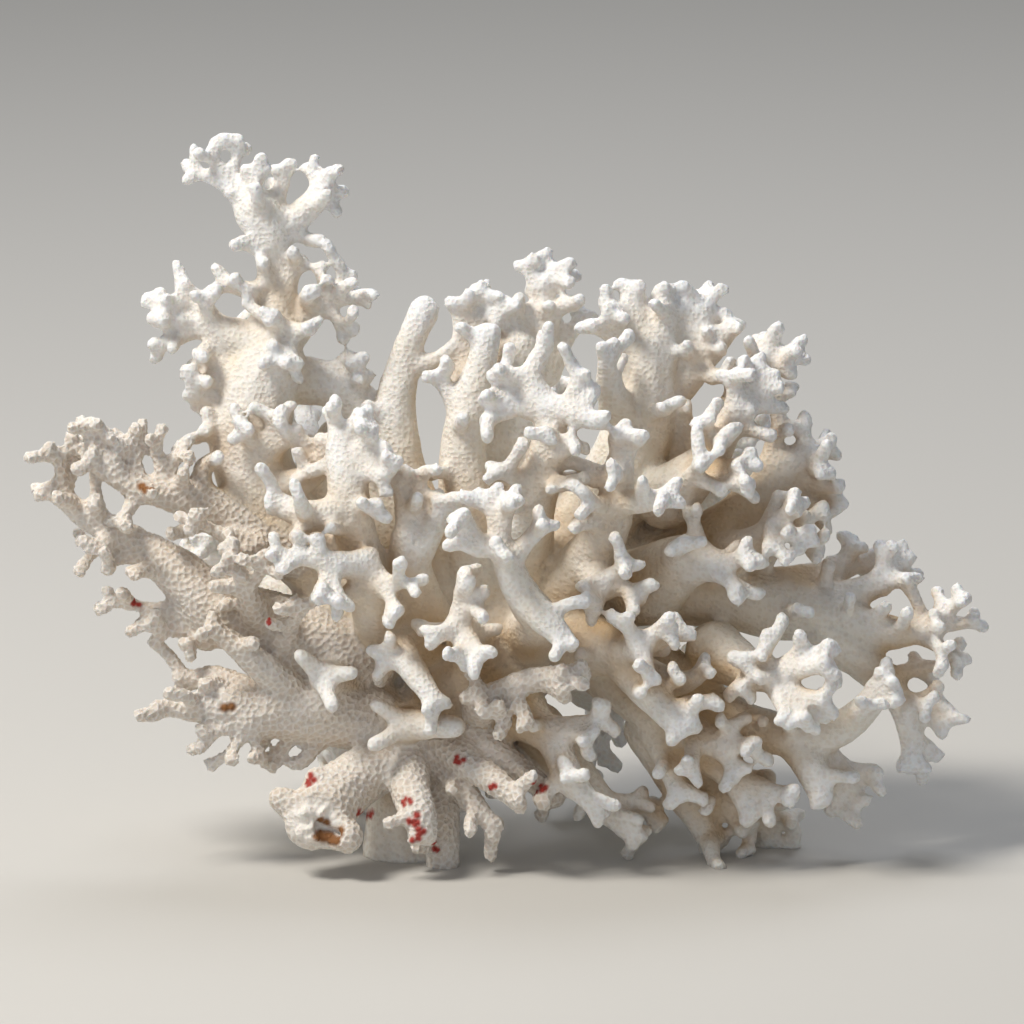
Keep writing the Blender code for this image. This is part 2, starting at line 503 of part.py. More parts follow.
def is_closed(mesh):
    """True when the mesh has faces, and each edge joins two of them."""
    bm = bmesh.new()
    bm.from_mesh(mesh)
    closed = len(bm.faces) > 0
    closed = closed and all(edge.is_manifold for edge in bm.edges)
    closed = closed and all(vert.is_manifold for vert in bm.verts)
    bm.free()
    return closed


def surfaces_cross(first, second):
    """True where the two objects' surfaces run through each other."""
    trees = []
    for obj in (first, second):
        bm = bmesh.new()
        bm.from_mesh(obj.data)
        trees.append(BVHTree.FromBMesh(bm))
        bm.free()
    return bool(trees[0].overlap(trees[1]))


def bodies_of(bm):
    """The vertices of each connected body, the smallest body first."""
    left = set(bm.verts)
    bodies = []
    while left:
        stack = [left.pop()]
        body = set(stack)
        while stack:
            for edge in stack.pop().link_edges:
                for vert in edge.verts:
                    if vert in left:
                        left.discard(vert)
                        body.add(vert)
                        stack.append(vert)
        bodies.append(body)
    return sorted(bodies, key=len)


def keep_largest_body(obj):
    """Drop the crumbs of a cut, and close up the edges too short to keep if that leaves no gap."""
    bm = bmesh.new()
    bm.from_mesh(obj.data)
    crumbs = [vert for body in bodies_of(bm)[:-1] for vert in body]
    bmesh.ops.delete(bm, geom=crumbs, context="VERTS")
    bmesh.ops.triangulate(bm, faces=bm.faces)
    bm.to_mesh(obj.data)
    tidy = obj.data.copy()
    bmesh.ops.remove_doubles(bm, verts=bm.verts, dist=SHORTEST_EDGE * MM)
    bm.to_mesh(tidy)
    bm.free()
    if is_closed(tidy):
        obj.data = tidy


def cut(obj, cutter, solver):
    boolean = obj.modifiers.new("cut", "BOOLEAN")
    boolean.operation = "DIFFERENCE"
    boolean.solver = solver
    boolean.object = cutter
    applied(obj)
    keep_largest_body(obj)


def grow(cutter, skin, gap):
    """Make the cutter a copy of the skin that stands out by the gap all round."""
    cutter.data = skin.copy()
    bm = bmesh.new()
    bm.from_mesh(cutter.data)
    bm.normal_update()
    steps = [vert.normal * min(vert.calc_shell_factor(), SHARPEST_STEP) for vert in bm.verts]
    for vert, step in zip(bm.verts, steps):
        vert.co += step * gap * MM
    bm.to_mesh(cutter.data)
    bm.free()


def is_sound(mesh):
    return is_closed(mesh) and not crosses_itself(mesh)


def seat(limb, carrier, skin, cutter):
    """Hollow the limb where it sits on its carrier, with a gap between them; True if that is sound.

    The skin is the carrier's own before it was seated, which has no sharp rims. A wider gap is
    tried where the first leaves a skin that is open or crosses itself, and the exact solver gives
    way to the manifold one only where it fails. What still touches is cut by the carrier itself.
    """
    whole = limb.data
    for gap in SEAT_GAPS:
        grow(cutter, skin, gap)
        if not surfaces_cross(limb, cutter):
            return True
        for solver in ("EXACT", "MANIFOLD"):
            limb.data = whole.copy()
            cut(limb, cutter, solver)
            if is_sound(limb.data) and not surfaces_cross(limb, carrier):
                return True
    cut(limb, carrier, "EXACT")
    return is_sound(limb.data)


def shape_limb(limb, dense, triangles, carriers, cutter):
    """Thin out, seat and check the limb, with a few more triangles each time it is not sound."""
    for attempt in range(ATTEMPTS):
        simplify(limb, dense, triangles * MORE_TRIANGLES ** attempt)
        skin = limb.data.copy()
        if crosses_itself(skin):
            continue
        box = bounds(skin)
        near = [entry[:2] for entry in carriers if boxes_meet(box, entry[2])]
        sound = [seat(limb, carrier, carrier_skin, cutter) for carrier, carrier_skin in near]
        if all(sound):
            break
    else:
        print("not sound:", limb.name)
    carriers.append((limb, skin, bounds(skin)))


def helper_object(name, mesh, collection):
    """An object that only cuts others, kept out of the renders."""
    helper = bpy.data.objects.new(name, mesh)
    collection.objects.link(helper)
    helper.hide_render = True
    helper.display_type = "WIRE"
    return helper


def ground_block(collection):
    mesh = bpy.data.meshes.new("ground")
    bm = bmesh.new()
    size = Matrix.Diagonal((1, 1, GROUND_DEPTH * MM, 1))
    drop = Matrix.Translation((0, 0, -GROUND_DEPTH * MM / 2))
    bmesh.ops.create_cube(bm, size=1.0, matrix=drop @ size)
    bm.to_mesh(mesh)
    bm.free()
    return helper_object("ground", mesh, collection)


def triangle_budget(runs):
    joints = sum(len(points) - 1 for points in runs)
    return TRIANGLES_PER_TIP * len(runs) + TRIANGLES_PER_JOINT * joints


def build():
    clear_scene()
    parts = new_collection("branching_coral")
    cutters = new_collection("cutters")
    white = coral_material("bleached coral", (0.83, 0.79, 0.70), 0.75)
    beige = coral_material("weathered coral", (0.68, 0.58, 0.46), 0.85)
    ground = ground_block(cutters)
    cutter = helper_object("seat", bpy.data.meshes.new("seat"), cutters)
    carriers = []
    for name, runs in LIMBS.items():
        mesh = limb_tubes(name, runs, parts)
        add_joint_balls(mesh, runs)
        limb = bpy.data.objects.new(name, mesh)
        parts.objects.link(limb)
        fuse(limb)
        shape_limb(limb, limb.data, triangle_budget(runs), carriers, cutter)
        if bounds(limb.data)[0].z < 0:
            cut(limb, ground, "EXACT")
        keep_largest_body(limb)
        limb.data.shade_smooth()
        limb.data.set_sharp_from_angle(angle=math.radians(60))
        limb.data.materials.clear()
        limb.data.materials.append(beige if name in WEATHERED else white)


build()
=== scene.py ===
# %% [markdown]
# A bleached branching coral.
# A colony like this is one skeleton of aragonite, the stony stuff that the polyps laid down. Its
# thick inner limbs have grown into each other, and its outer fingers are white and knobbly. The
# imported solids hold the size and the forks. This lesson grows the fine skin over the same limbs.

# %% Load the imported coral
import math
import random

import bmesh
import bpy
import numpy as np
from mathutils import Matrix, Vector, noise
from mathutils.bvhtree import BVHTree
from mathutils.kdtree import KDTree


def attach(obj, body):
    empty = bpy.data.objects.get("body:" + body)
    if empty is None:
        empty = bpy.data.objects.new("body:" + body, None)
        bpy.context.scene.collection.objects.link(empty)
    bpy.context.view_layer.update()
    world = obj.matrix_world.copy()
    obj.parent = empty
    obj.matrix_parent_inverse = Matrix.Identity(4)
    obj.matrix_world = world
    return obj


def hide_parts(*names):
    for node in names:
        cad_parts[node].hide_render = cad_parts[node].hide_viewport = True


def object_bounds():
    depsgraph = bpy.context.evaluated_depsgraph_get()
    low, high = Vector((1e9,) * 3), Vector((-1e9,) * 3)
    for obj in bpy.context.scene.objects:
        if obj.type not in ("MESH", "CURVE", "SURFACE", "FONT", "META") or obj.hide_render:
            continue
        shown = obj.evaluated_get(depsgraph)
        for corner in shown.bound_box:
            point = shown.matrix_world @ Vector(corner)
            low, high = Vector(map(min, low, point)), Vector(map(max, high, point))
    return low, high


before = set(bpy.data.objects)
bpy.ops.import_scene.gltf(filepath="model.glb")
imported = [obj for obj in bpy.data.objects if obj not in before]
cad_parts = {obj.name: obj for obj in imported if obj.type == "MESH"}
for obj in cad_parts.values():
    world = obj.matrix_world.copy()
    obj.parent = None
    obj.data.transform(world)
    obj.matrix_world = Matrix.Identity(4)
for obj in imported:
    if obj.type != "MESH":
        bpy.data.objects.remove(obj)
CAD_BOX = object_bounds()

print("packed coral:", len(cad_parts), "limbs")

# %% [markdown]
# Sizes.
# Everything here is in millimetres in the layout of a viewer in front of the coral: across to the
# right, up, and away from the viewer. The layout is tipped by VIEW_TILT, because the coral is
# looked at from a little above. The solids use the same layout. The grown skin reaches past them,
# so it is drawn in later.

# %% Driving sizes
MM = 0.001
VIEW_TILT = math.radians(12)
CENTRE_ACROSS = 0.25
CENTRE_AWAY = 25.9
TIP_RADIUS = 2.15          # the solids' finger tips, stouter than the real ones of 2.5 to 4 mm
PLUMP = 0.2                # what the smoothing takes off a finger
CUP_SPACING = 1.0          # a little under the cups' own 1.3 mm, as the skin cuts the pattern
PHOTO_SIZE = 1024          # pixels
PHOTO_SCALE = 5.0          # pixels for one millimetre
PHOTO_ORIGIN = (507, 865)  # the pixel where the layout's zero lies


def to_world(point):
    """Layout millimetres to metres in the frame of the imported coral."""
    across, up, away = point[:3]
    y = up * math.sin(VIEW_TILT) + (away - CENTRE_AWAY) * math.cos(VIEW_TILT)
    z = up * math.cos(VIEW_TILT) - away * math.sin(VIEW_TILT)
    return Vector(((across - CENTRE_ACROSS) * MM, y * MM, z * MM))


# %% [markdown]
# The limbs.
# A limb is a row of given points, each with the limb's radius. A fork gives one finger to
# each tip. On the side that faces away, which nobody photographed, a seeded rule divides each end
# in two or three, which is how such a colony fills open water.

# %% Runs, forks and sprays
def run(*points):
    """One limb through the given points."""
    return [tuple(map(float, point)) for point in points]


def fork(joint, *tips):
    """A finger from the joint to each tip, a little waisted, with a rounded end."""
    across, up, away, radius = joint
    fingers = []
    for tip in tips:
        waist = tuple(0.45 * a + 0.55 * b for a, b in zip(joint[:3], tip))
        neck = min(radius, TIP_RADIUS)
        fingers.append(run((across, up, away, radius), (*waist, neck), (*tip, TIP_RADIUS)))
    return fingers


def spray(seed, root, heading, reach, levels=3):
    """A limb grown by rule on the side that faces away: each end divides in two or three."""
    rng = random.Random(seed)
    limbs = []

    def divide(start, direction, length, radius, level):
        side = direction.orthogonal().normalized()
        bend = side * rng.uniform(-0.15, 0.15) * length
        end = start + direction * length
        middle = (start + end) / 2 + bend
        thin = max(radius * 0.72, TIP_RADIUS)
        limbs.append(run((*start, radius), (*middle, (radius + thin) / 2), (*end, thin)))
        if level == 0:
            return
        count = rng.choice((2, 3, 3)) if level == 1 else 2
        turn = rng.uniform(0, 2 * math.pi)
        for k in range(count):
            around = Matrix.Rotation(turn + 2 * math.pi * k / count, 3, direction)
            lean = math.radians(rng.uniform(32, 50))
            child = Matrix.Rotation(lean, 3, around @ side) @ direction
            divide(end, child, length * rng.uniform(0.58, 0.72), thin, level - 1)

    divide(Vector(root[:3]), Vector(heading).normalized(), reach, root[3], levels)
    return limbs


# %% The limbs, node by node
LIMBS = {
    "trunk": [
        run((-22, -6, 8, 9.5), (-21, 6, 7, 9.5), (-18, 18, 5, 10.5), (-11, 32, 4, 13),
            (0, 44, 4, 14), (10, 52, 5, 12.5)),
        run((-18, 20, 4, 9), (-31, 32, 2, 9), (-38, 42, 1, 8)),
        run((-22, 27, -3, 6), (-20, 28, -12, 4.2), (-16, 28, -17, 3.4), (-11, 27.6, -19, 3)),
        *fork((-20, 28, -12, 3.6), (-27.5, 24, -17), (-27, 32, -15)),
        run((-34, 38, -4, 6), (-38, 37.5, -13, 4)),
        *fork((-38, 38, -13, 3.4), (-42.5, 42, -18), (-32, 38.5, -19), (-36, 32, -19)),
    ],
    "broken_foot": [
        run((-22, 22, -4, 6), (-31, 17, -9, 6.6), (-37, 12, -13, 7.2), (-40, 8.5, -16, 6.6)),
        run((-40, 10, -14, 5.5), (-46.5, 13, -15, 3.6)),
        run((-37, 8, -14, 5.5), (-33, 5.5, -18, 4.6)),
        run((-37, 14, -12, 5), (-39, 17, -14, 3.6)),
    ],
    "foot_fingers": [
        run((-21, 23, -3, 6.5), (-20.5, 16, -12, 4.8), (-18.5, 10, -17, 4.4), (-17.5, 6.4, -18, 3.8)),
        run((-15, 18, 0, 5.5), (-14, 7, -3, 4.6), (-13.4, -4, -3, 4.4)),
        run((-14, 25, -5, 6), (-8, 20, -12, 3.8), (-2, 16, -17, 3.3), (1.5, 12.8, -19, 2.7)),
        run((-9, 27, -3, 6), (-2, 21.5, -8, 4.2), (6, 16, -11, 3.2)),
        run((-13, 20, -5, 4.4), (-8, 13, -10, 3), (-3.6, 7.8, -13, 2.4)),
        run((-3, 28, 3, 6.5), (4, 19, 1, 4.6), (9, 13.4, 0, 3.6)),
    ],
    "left_limb": [
        run((-30, 42, 0, 9), (-46, 46, -2, 9), (-60, 52, -4, 7.4), (-68, 59, -5, 5.6),
            (-77, 65, -5, 4.4), (-86, 70, -6, 3.8), (-93, 75, -7, 3)),
        *fork((-91, 74, -6, 3), (-94.6, 76, -7), (-91.8, 82, -9), (-88.4, 81, -5)),
        *fork((-84, 71, -6, 3), (-84.6, 79.5, -8)),
        *fork((-77, 63, -4, 3.6), (-86.6, 64.6, -2), (-82, 60.5, -8)),
        *fork((-66, 50, -3, 4), (-81.6, 53.2, -4)),
        *fork((-62, 47, -3, 5), (-71.5, 46.6, -5), (-65, 44, -7)),
        run((-50, 48, -6, 5.5), (-52.4, 53, -15, 3.8), (-54, 58, -19, 3)),
        *fork((-53, 56, -18, 3), (-56, 62, -21), (-49, 60, -22)),
        *fork((-46, 46, -9, 4.5), (-41.8, 51.6, -20)),
    ],
    "lower_left_fingers": [
        run((-28, 29, -1, 8), (-40, 31, -4, 7.5), (-50, 31, -7, 6.4)),
        run((-50, 32, -6, 5), (-60, 37, -4, 4), (-66.5, 37, -3, 3)),
        run((-50, 31, -8, 5), (-61, 31.5, -9, 4.6), (-70, 31.5, -9, 3.4)),
        *fork((-53, 29, -9, 4.6), (-62, 25.5, -12), (-57, 21.6, -11), (-51, 22, -9)),
        run((-45, 35, -8, 4.5), (-52, 41, -13, 4), (-60.5, 48, -16, 3.2)),
    ],
    "left_upper_limb": [
        run((-42, 62, -1, 7), (-54, 68, -4, 6), (-66, 74, -7, 4.8), (-76, 76, -9, 3.8),
            (-85, 81, -10, 3)),
        *fork((-84, 81, -10, 2.8), (-88, 83.5, -8), (-86, 88.4, -11), (-81.8, 86, -9)),
        *fork((-76, 77, -9, 3), (-76.4, 87, -9)),
        *fork((-70, 76, -8, 3), (-72, 85.4, -10), (-67.4, 84.6, -8)),
        run((-62, 73, -5, 3.6), (-62.5, 80, -6, 3), (-56, 83, -4, 3)),
        *fork((-76, 74, -9, 3), (-79, 69, -11)),
        *fork((-52, 64, -8, 4.5), (-63.8, 69, -16), (-56, 62, -16)),
    ],
    "spire_trunk": [
        run((-22, 46, 5, 10), (-36, 58, 3, 9), (-47, 70, 1, 8.8), (-53, 82, 0, 9),
            (-52, 94, 0, 9), (-49, 102, 0, 8)),
        *fork((-56, 98, 0, 5.4), (-64.4, 100, 0), (-62.5, 104, -3)),
        *fork((-56, 93, 0, 5.4), (-64.6, 95, -3), (-62, 91.4, 2)),
        *fork((-56, 87, -2, 5), (-61.4, 88.2, -5)),
        *fork((-50, 84, -6, 5), (-46, 91, -12), (-54, 87, -12), (-43, 86, -11)),
        run((-47, 76, -5, 4.4), (-40, 78.5, -9, 3), (-37, 84, -12, 2.8)),
    ],
    "spire_middle": [
        run((-49, 101, 0, 7.6), (-48, 111, 1, 5.5), (-46, 118, 1, 3.6), (-43.8, 122, 1, 2.8)),
        run((-50, 104, 0, 6), (-60, 108, 0, 4), (-65, 109, 0, 3.4)),
        *fork((-64, 108.6, 0, 2.8), (-72.4, 114, 1), (-72.4, 110, -1), (-71.6, 104.8, 0)),
        run((-60, 108, 0, 3.4), (-64, 114, 0, 2.6), (-67, 116.4, 0, 2.2)),
        run((-46, 115.4, 1, 2.8), (-53, 116, -1, 2.3), (-58.6, 117.6, -2, 2.1)),
        *fork((-46, 107, -3, 4), (-48, 111, -9), (-40.6, 108, -8), (-44, 101, -9)),
    ],
    "spire_fan": [
        run((-45, 108, 2, 5), (-38.8, 113, 1, 3.6), (-36, 115, 1, 3)),
        *fork((-38, 113.6, 1, 2.8), (-33.6, 119.4, 1), (-31.6, 114.6, 3), (-34.4, 109, 0)),
        *fork((-39, 113, 1, 3), (-38, 118.4, -2)),
    ],
    "spire_head": [
        run((-46.4, 115, 1, 3), (-47.8, 120.4, 0, 2.7), (-48.6, 127, 0, 5), (-51.5, 132, 0, 5.6),
            (-55.5, 136, 0, 4)),
        *fork((-58, 138, 0, 3), (-65, 140, 1), (-61.2, 144.2, -1), (-55, 144.6, 1)),
        *fork((-52, 134, 0, 3), (-52.6, 140, -2)),
        run((-49, 132, 0, 3.6), (-46.6, 137, 1, 2.4), (-46.4, 140, 1, 2.3)),
        run((-46, 129, 0, 4), (-41, 133, 0, 3.8), (-38, 137, 0, 4)),
        *fork((-38.5, 137, 0, 3), (-41, 140.2, 1), (-37, 140, -2), (-36.4, 135, 2)),
        *fork((-44, 128, 0, 3), (-41, 126, 1)),
    ],
    "saddle_wall": [
        run((-46, 98, 4, 6), (-37, 97, 5, 5.4), (-30, 91, 6, 6), (-26, 78, 7, 6.5), (-23, 64, 7, 8)),
        run((-36, 86, 8, 4.6), (-38, 74, 7, 5.5), (-34, 62, 7, 7)),
        *fork((-37, 98, 5, 3.6), (-33.6, 102.4, 4), (-31, 98, 2)),
    ],
    "club_column": [
        run((-13, 54, 4, 9), (-18, 66, 4, 7.5), (-22.5, 80, 3, 6.2), (-23.4, 92, 2, 5),
            (-21.5, 102, 1, 3.8), (-19.5, 107.6, 0, 3.5), (-17.4, 112, 0, 4.2)),
        run((-21.5, 100.6, 1, 3), (-16, 101.5, 0, 2.2), (-11.4, 104.6, -1, 2)),
        *fork((-24, 88, 2, 3.6), (-29, 92.4, -2)),
    ],
    "knob_column": [
        run((-5, 56, 2, 9), (-8.4, 70, -1, 7), (-9.4, 84, -3, 5.6), (-7.5, 94, -5, 4.8),
            (-5.4, 102, -6, 3.6), (-4.8, 106.4, -6, 4)),
        *fork((-10, 91, -4, 3.2), (-14.4, 98.6, -5)),
        run((-8.4, 86, 0, 5), (-9, 99, 1, 4.2), (-9, 107, 1, 3.4)),
        *fork((-9, 107, 1, 2.6), (-7, 116, 1), (-10.8, 113, 0), (-4.6, 111, 1)),
    ],
    "crown_middle": [
        run((8, 54, 6, 12), (17, 68, 5, 10), (24.5, 82, 3, 8.5), (28, 95, 2, 7.6), (28, 104, 1, 6.6)),
        run((27, 103, 1, 6), (25.4, 110, 0, 4), (25.2, 116, 0, 3.4)),
        run((30, 103, 1, 5.4), (31.4, 110, 0, 3.6), (31.6, 115.6, 0, 3.2)),
        *fork((24, 106, 0, 4.5), (19.4, 113.6, -2), (16.6, 109, -5)),
        run((22, 92, -4, 4.6), (20, 98, -12, 3), (19.8, 103, -17, 2.3)),
    ],
    "crown_left": [
        run((3, 58, 6, 10), (2, 76, 6, 8.4), (1, 92, 4, 7), (1.6, 104, 3, 6)),
        *fork((2, 106, 3, 4), (0.4, 112.6, 1), (-2.4, 110, 0), (4, 112.4, 5)),
        run((4, 100, 5, 4.6), (7.2, 109, 6, 3.2), (6.4, 116, 6, 2.8)),
        *fork((6, 116, 6, 2.6), (4, 121.4, 6), (8.4, 121, 7), (11.6, 118.8, 5)),
        *fork((7, 110, 6, 2.8), (11.4, 113.6, 5)),
        *fork((7, 100, 6, 4.6), (15.2, 111, 9)),
    ],
    "crown_right": [
        run((28.4, 90, 6, 6.4), (34, 101, 5, 5), (38, 109, 4, 4.4), (39.6, 112, 4, 4)),
        *fork((39, 111, 4, 3.4), (42.6, 110.6, 6), (41, 115, 5), (36.8, 114.4, 7), (34.8, 112.6, 1)),
        run((32, 94, 5, 5), (38, 100.6, 3, 4), (45.2, 108.4, 2, 2.8)),
        *fork((39.5, 102, 3, 3), (41, 107.4, 0), (35.6, 104, -3)),
    ],
    "right_shoulder": [
        run((30, 60, 8, 9), (42, 64, 6, 8.4), (50, 71, 4, 7), (57, 80, 2, 4.8), (61, 82.6, 1, 3.8)),
        *fork((61, 82.6, 1, 3.2), (65.2, 84.6, 3), (63, 79, -3), (60, 88, 2)),
        *fork((57, 76, 3, 3.8), (66.4, 75, 5), (64, 70, 2)),
        *fork((52, 70, 2, 4), (58.6, 68, -6), (62, 64, -2)),
        *fork((53, 80, 2, 3.4), (55.4, 90.6, 1)),
    ],
    "right_crown_fan": [
        run((32, 78, 8, 7.4), (41, 86, 4, 5.5), (47.5, 94, 1, 4), (51.5, 101, 0, 3.8)),
        *fork((52, 102, 0, 3.2), (54.2, 107.4, 0), (50.4, 106, 2), (58.6, 103.6, 0), (57.4, 99.2, -2)),
        *fork((46, 93, 1, 3), (45.2, 99, 4)),
    ],
    "right_crown_front": [
        run((32, 74, -2, 7.4), (41, 82, -7, 4.8), (46.2, 92, -11, 3.6)),
        *fork((46.4, 93, -11, 3), (45, 98, -13), (49.4, 98.6, -9)),
        *fork((47, 90, -10, 2.9), (53.6, 97, -9)),
        *fork((42, 84, -9, 3.2), (39.4, 89, -16), (43, 85, -18)),
        *fork((35, 75, -8, 4), (38.6, 80.6, -20)),
        *fork((40, 78, -9, 3.6), (48.6, 81.4, -17), (48.6, 76.6, -21)),
    ],
    "right_limb": [
        run((9, 54, 7, 12), (25, 57, 6, 10), (41, 56, 6, 9), (55, 52, 5, 7.6), (67, 49, 4, 5.8),
            (79, 46.5, 3, 4.4), (87, 48, 2, 3.4)),
        *fork((87, 48, 2, 3), (88.6, 53, 2), (92.6, 53.4, 0), (95, 48.6, 3)),
        *fork((85, 46, 2, 3.2), (91.8, 40.8, 1), (88.6, 43, -4)),
    ],
    "right_upper_fan": [
        run((58, 51, 5, 6), (67, 53, 6, 4.6), (75.4, 56.6, 5, 3.6)),
        *fork((76, 57, 5, 3), (77, 63, 5), (80.6, 61.6, 7), (81.8, 57.4, 2)),
        run((56, 55, 8, 6), (65, 58, 10, 4), (67, 59.4, 10, 3.4)),
        *fork((67, 59, 10, 3.2), (70.6, 64, 10), (73, 60.4, 13)),
    ],
    "right_lower_fan": [
        run((64, 46, 3, 5), (74.6, 39, 4, 4.4), (81, 31.4, 5, 3.8)),
        *fork((81, 31.6, 5, 3.2), (87, 34, 6), (87.8, 28.4, 7)),
        run((81, 31, 5, 3.4), (82.6, 25, 6, 3.2), (82.4, 20, 6, 2.8)),
        *fork((77, 37, 4, 3.2), (84, 39.6, 7)),
    ],
    "right_front_web": [
        run((28, 56, -2, 9), (36, 61, -9, 6.4), (42, 60, -13, 4.6)),
        *fork((42, 60, -13, 3.4), (48, 62, -18), (46, 55.4, -19)),
        *fork((34, 62, -12, 4), (33.6, 63.6, -18)),
        run((44, 62, -2, 6), (51, 65, -8, 4), (54, 68, -10, 3.2)),
        *fork((54, 68, -10, 3), (57.6, 72, -13), (59.4, 65.4, -14), (52.6, 63.6, -15)),
    ],
    "bright_cluster": [
        run((42, 43, -3, 7), (49, 39, -11, 5), (54, 37.4, -17, 4.2)),
        *fork((55.4, 38.6, -18, 3.4), (64.8, 44, -25), (64, 40, -27), (59.6, 44, -22)),
        *fork((55, 35, -18, 3.4), (60, 28.8, -25), (56, 30, -24), (63.4, 33, -24)),
        *fork((50, 38.4, -13, 3.6), (47.6, 40.6, -20), (52, 43.4, -20), (46, 35.4, -18)),
    ],
    "low_right_limb": [
        run((30, 38, 3, 8), (44, 29, -1, 6.2), (56, 26, -4, 5), (66, 26.4, -5, 4.4),
            (73.4, 32, -5, 3.6), (76, 37, -6, 2.8)),
        *fork((74.6, 35, -5, 2.8), (77.4, 38.6, -4), (78.6, 35.2, -8)),
        run((58, 24.6, -4, 4.6), (62.2, 18, -6, 4), (63.6, 13.4, -7, 3.4)),
        run((62, 24, -2, 4), (67, 19.4, 0, 3.6)),
        *fork((67, 19, 0, 3.2), (73, 18.4, 2), (71, 13.4, 3), (67, 11.4, 3)),
    ],
    "low_right_fork": [
        run((15, 44, -6, 8), (23, 43, -15, 5), (26.4, 43.6, -22, 3.6)),
        *fork((26.4, 44, -22, 3.2), (23, 49, -25), (31.6, 48.4, -26), (28.4, 37.8, -25)),
        run((24, 40, -13, 5), (29, 34, -19, 4.4), (34.6, 27.4, -22, 3.2)),
        *fork((32.6, 29.6, -21, 3), (37, 29, -22)),
        run((28, 38, -10, 4.4), (35, 36.4, -15, 3), (39.6, 39.2, -18, 2.3)),
    ],
    "low_right_fingers": [
        run((20, 40, 1, 8), (29, 32, -4, 6.4), (37, 26, -8, 5), (42, 24.4, -12, 4)),
        *fork((38, 25, -12, 3.2), (36.6, 19.6, -16)),
        *fork((42, 24.2, -12, 3.2), (48.4, 23.8, -16), (45.8, 28.2, -15), (46, 19, -13)),
        run((29, 29, -3, 5), (32, 21, -7, 3.2), (34.6, 13.8, -8, 2.7)),
        run((38, 24, -4, 5.4), (45.6, 18, -6, 4.2), (49.2, 10.4, -7, 3.4)),
        *fork((47, 16.6, -6, 3.4), (56.6, 13.8, -10)),
        run((29, 27, 2, 6.4), (36, 14, 4, 4.8), (41.6, 4.4, 6, 4)),
        run((38, 22, 3, 5.4), (44.6, 13, 4, 4.2), (47.8, 8, 4, 3.4)),
        run((40, 21, 5, 5.4), (49, 12, 10, 4.2), (53.4, 4.6, 13, 3.4)),
        *fork((50.4, 11, 10, 3.2), (58, 8.4, 12)),
    ],
    "low_front_fingers": [
        run((-1, 36, -3, 8), (4, 29, -9, 5.6), (9, 25.4, -13, 4.4)),
        run((9, 25, -13, 4), (12, 18, -15, 3.4), (18, 10.8, -14, 2.8)),
        *fork((9, 27, -13, 3.6), (19, 29.2, -17), (16, 25.6, -18)),
        run((6, 27, -2, 6.4), (15, 16.6, -2, 4.2), (21.4, 9.4, -3, 3.4), (26, 5.4, -4, 2.8)),
        *fork((19, 12, -2, 3.2), (26.6, 12.4, 0), (30, 10.6, 4)),
        *fork((13, 15.4, -13, 3), (11.6, 19.6, -19)),
    ],
    "textured_finger": [
        run((-6, 31, -6, 5.4), (-4, 33, -15, 3.8), (4, 37, -21, 3), (14, 38.8, -25, 2.3)),
        *fork((6, 37.5, -21, 2.6), (10.6, 34.6, -25)),
        *fork((-3, 33, -15, 3.2), (-6.6, 35.4, -20), (-0.8, 28.6, -21)),
    ],
    "front_finger": [
        run((-16, 44, -5, 5.6), (-21.6, 43, -14, 4), (-19.4, 39, -20, 3.4), (-15, 32.4, -23, 2.7)),
        *fork((-21, 43, -14, 3.4), (-25.6, 41, -17)),
    ],
    "front_lower_fork": [
        run((-25, 46, -4, 7), (-28.4, 56, -17, 5.4), (-29.6, 61, -21, 4.4)),
        run((-29, 60, -20, 4.2), (-36, 60.6, -24, 3.6), (-42, 62, -25, 3)),
        *fork((-42, 62, -25, 2.6), (-47, 62.4, -26)),
        *fork((-36, 59.4, -24, 3), (-34.4, 53.6, -27), (-38.6, 55, -27)),
        *fork((-27, 57, -20, 4), (-19.6, 56.4, -25), (-22, 51, -26)),
    ],
    "front_upper_fork": [
        run((-25, 52, -2, 7), (-30, 62, -11, 5.4), (-32, 70, -17, 5), (-33, 77, -18, 4.8),
            (-34, 82.6, -17, 4.6)),
        *fork((-34.4, 84, -17, 3.4), (-36, 91, -16), (-30.6, 90, -19)),
        *fork((-32, 80, -18, 3.4), (-24.8, 82.4, -20), (-26, 77.6, -22), (-28.4, 86, -20)),
        run((-33, 71.6, -18, 4), (-40, 70, -20, 3.8), (-47, 72.6, -19, 3.2)),
        *fork((-40, 70, -20, 3.2), (-43.4, 65.6, -23)),
        *fork((-33, 73, -18, 3), (-27.4, 71.6, -24)),
    ],
    "finger_column": [
        run((-17, 48, -4, 7), (-20, 58, -10, 5.4), (-20.8, 66, -13, 4.6)),
        *fork((-20.6, 67, -13, 3.2), (-22.6, 77.4, -15), (-17.8, 78.4, -14)),
        run((-19.6, 61, -12, 4), (-15.6, 67.6, -14, 3), (-13.6, 72.6, -15, 2.6)),
    ],
    "centre_fork": [
        run((4, 46, -6, 7.4), (6.4, 49, -20, 5), (2.6, 54, -28, 4.2), (-0.6, 61, -31, 3.4),
            (-2, 65, -32, 3)),
        *fork((-2, 66, -32, 2.6), (-4, 74, -32), (0, 73, -34)),
        run((-2, 64.6, -32, 2.8), (-6.4, 63.6, -34, 2.5), (-10.4, 65.4, -35, 2.2)),
        *fork((-6, 64, -34, 2.4), (-9.6, 70.2, -36)),
        *fork((0.2, 61, -31, 3), (6.6, 68.4, -32)),
        run((2.4, 54, -28, 4), (8, 48.4, -31, 3.6), (11.4, 45, -32, 3)),
    ],
    "centre_cluster": [
        run((-7, 44, -6, 6), (-9.5, 47, -18, 4), (-10.4, 48.4, -23, 3.4)),
        *fork((-10, 50, -23, 2.8), (-9, 58.6, -26), (-5, 55, -27)),
        *fork((-10.4, 48, -23, 2.8), (-15, 46, -27)),
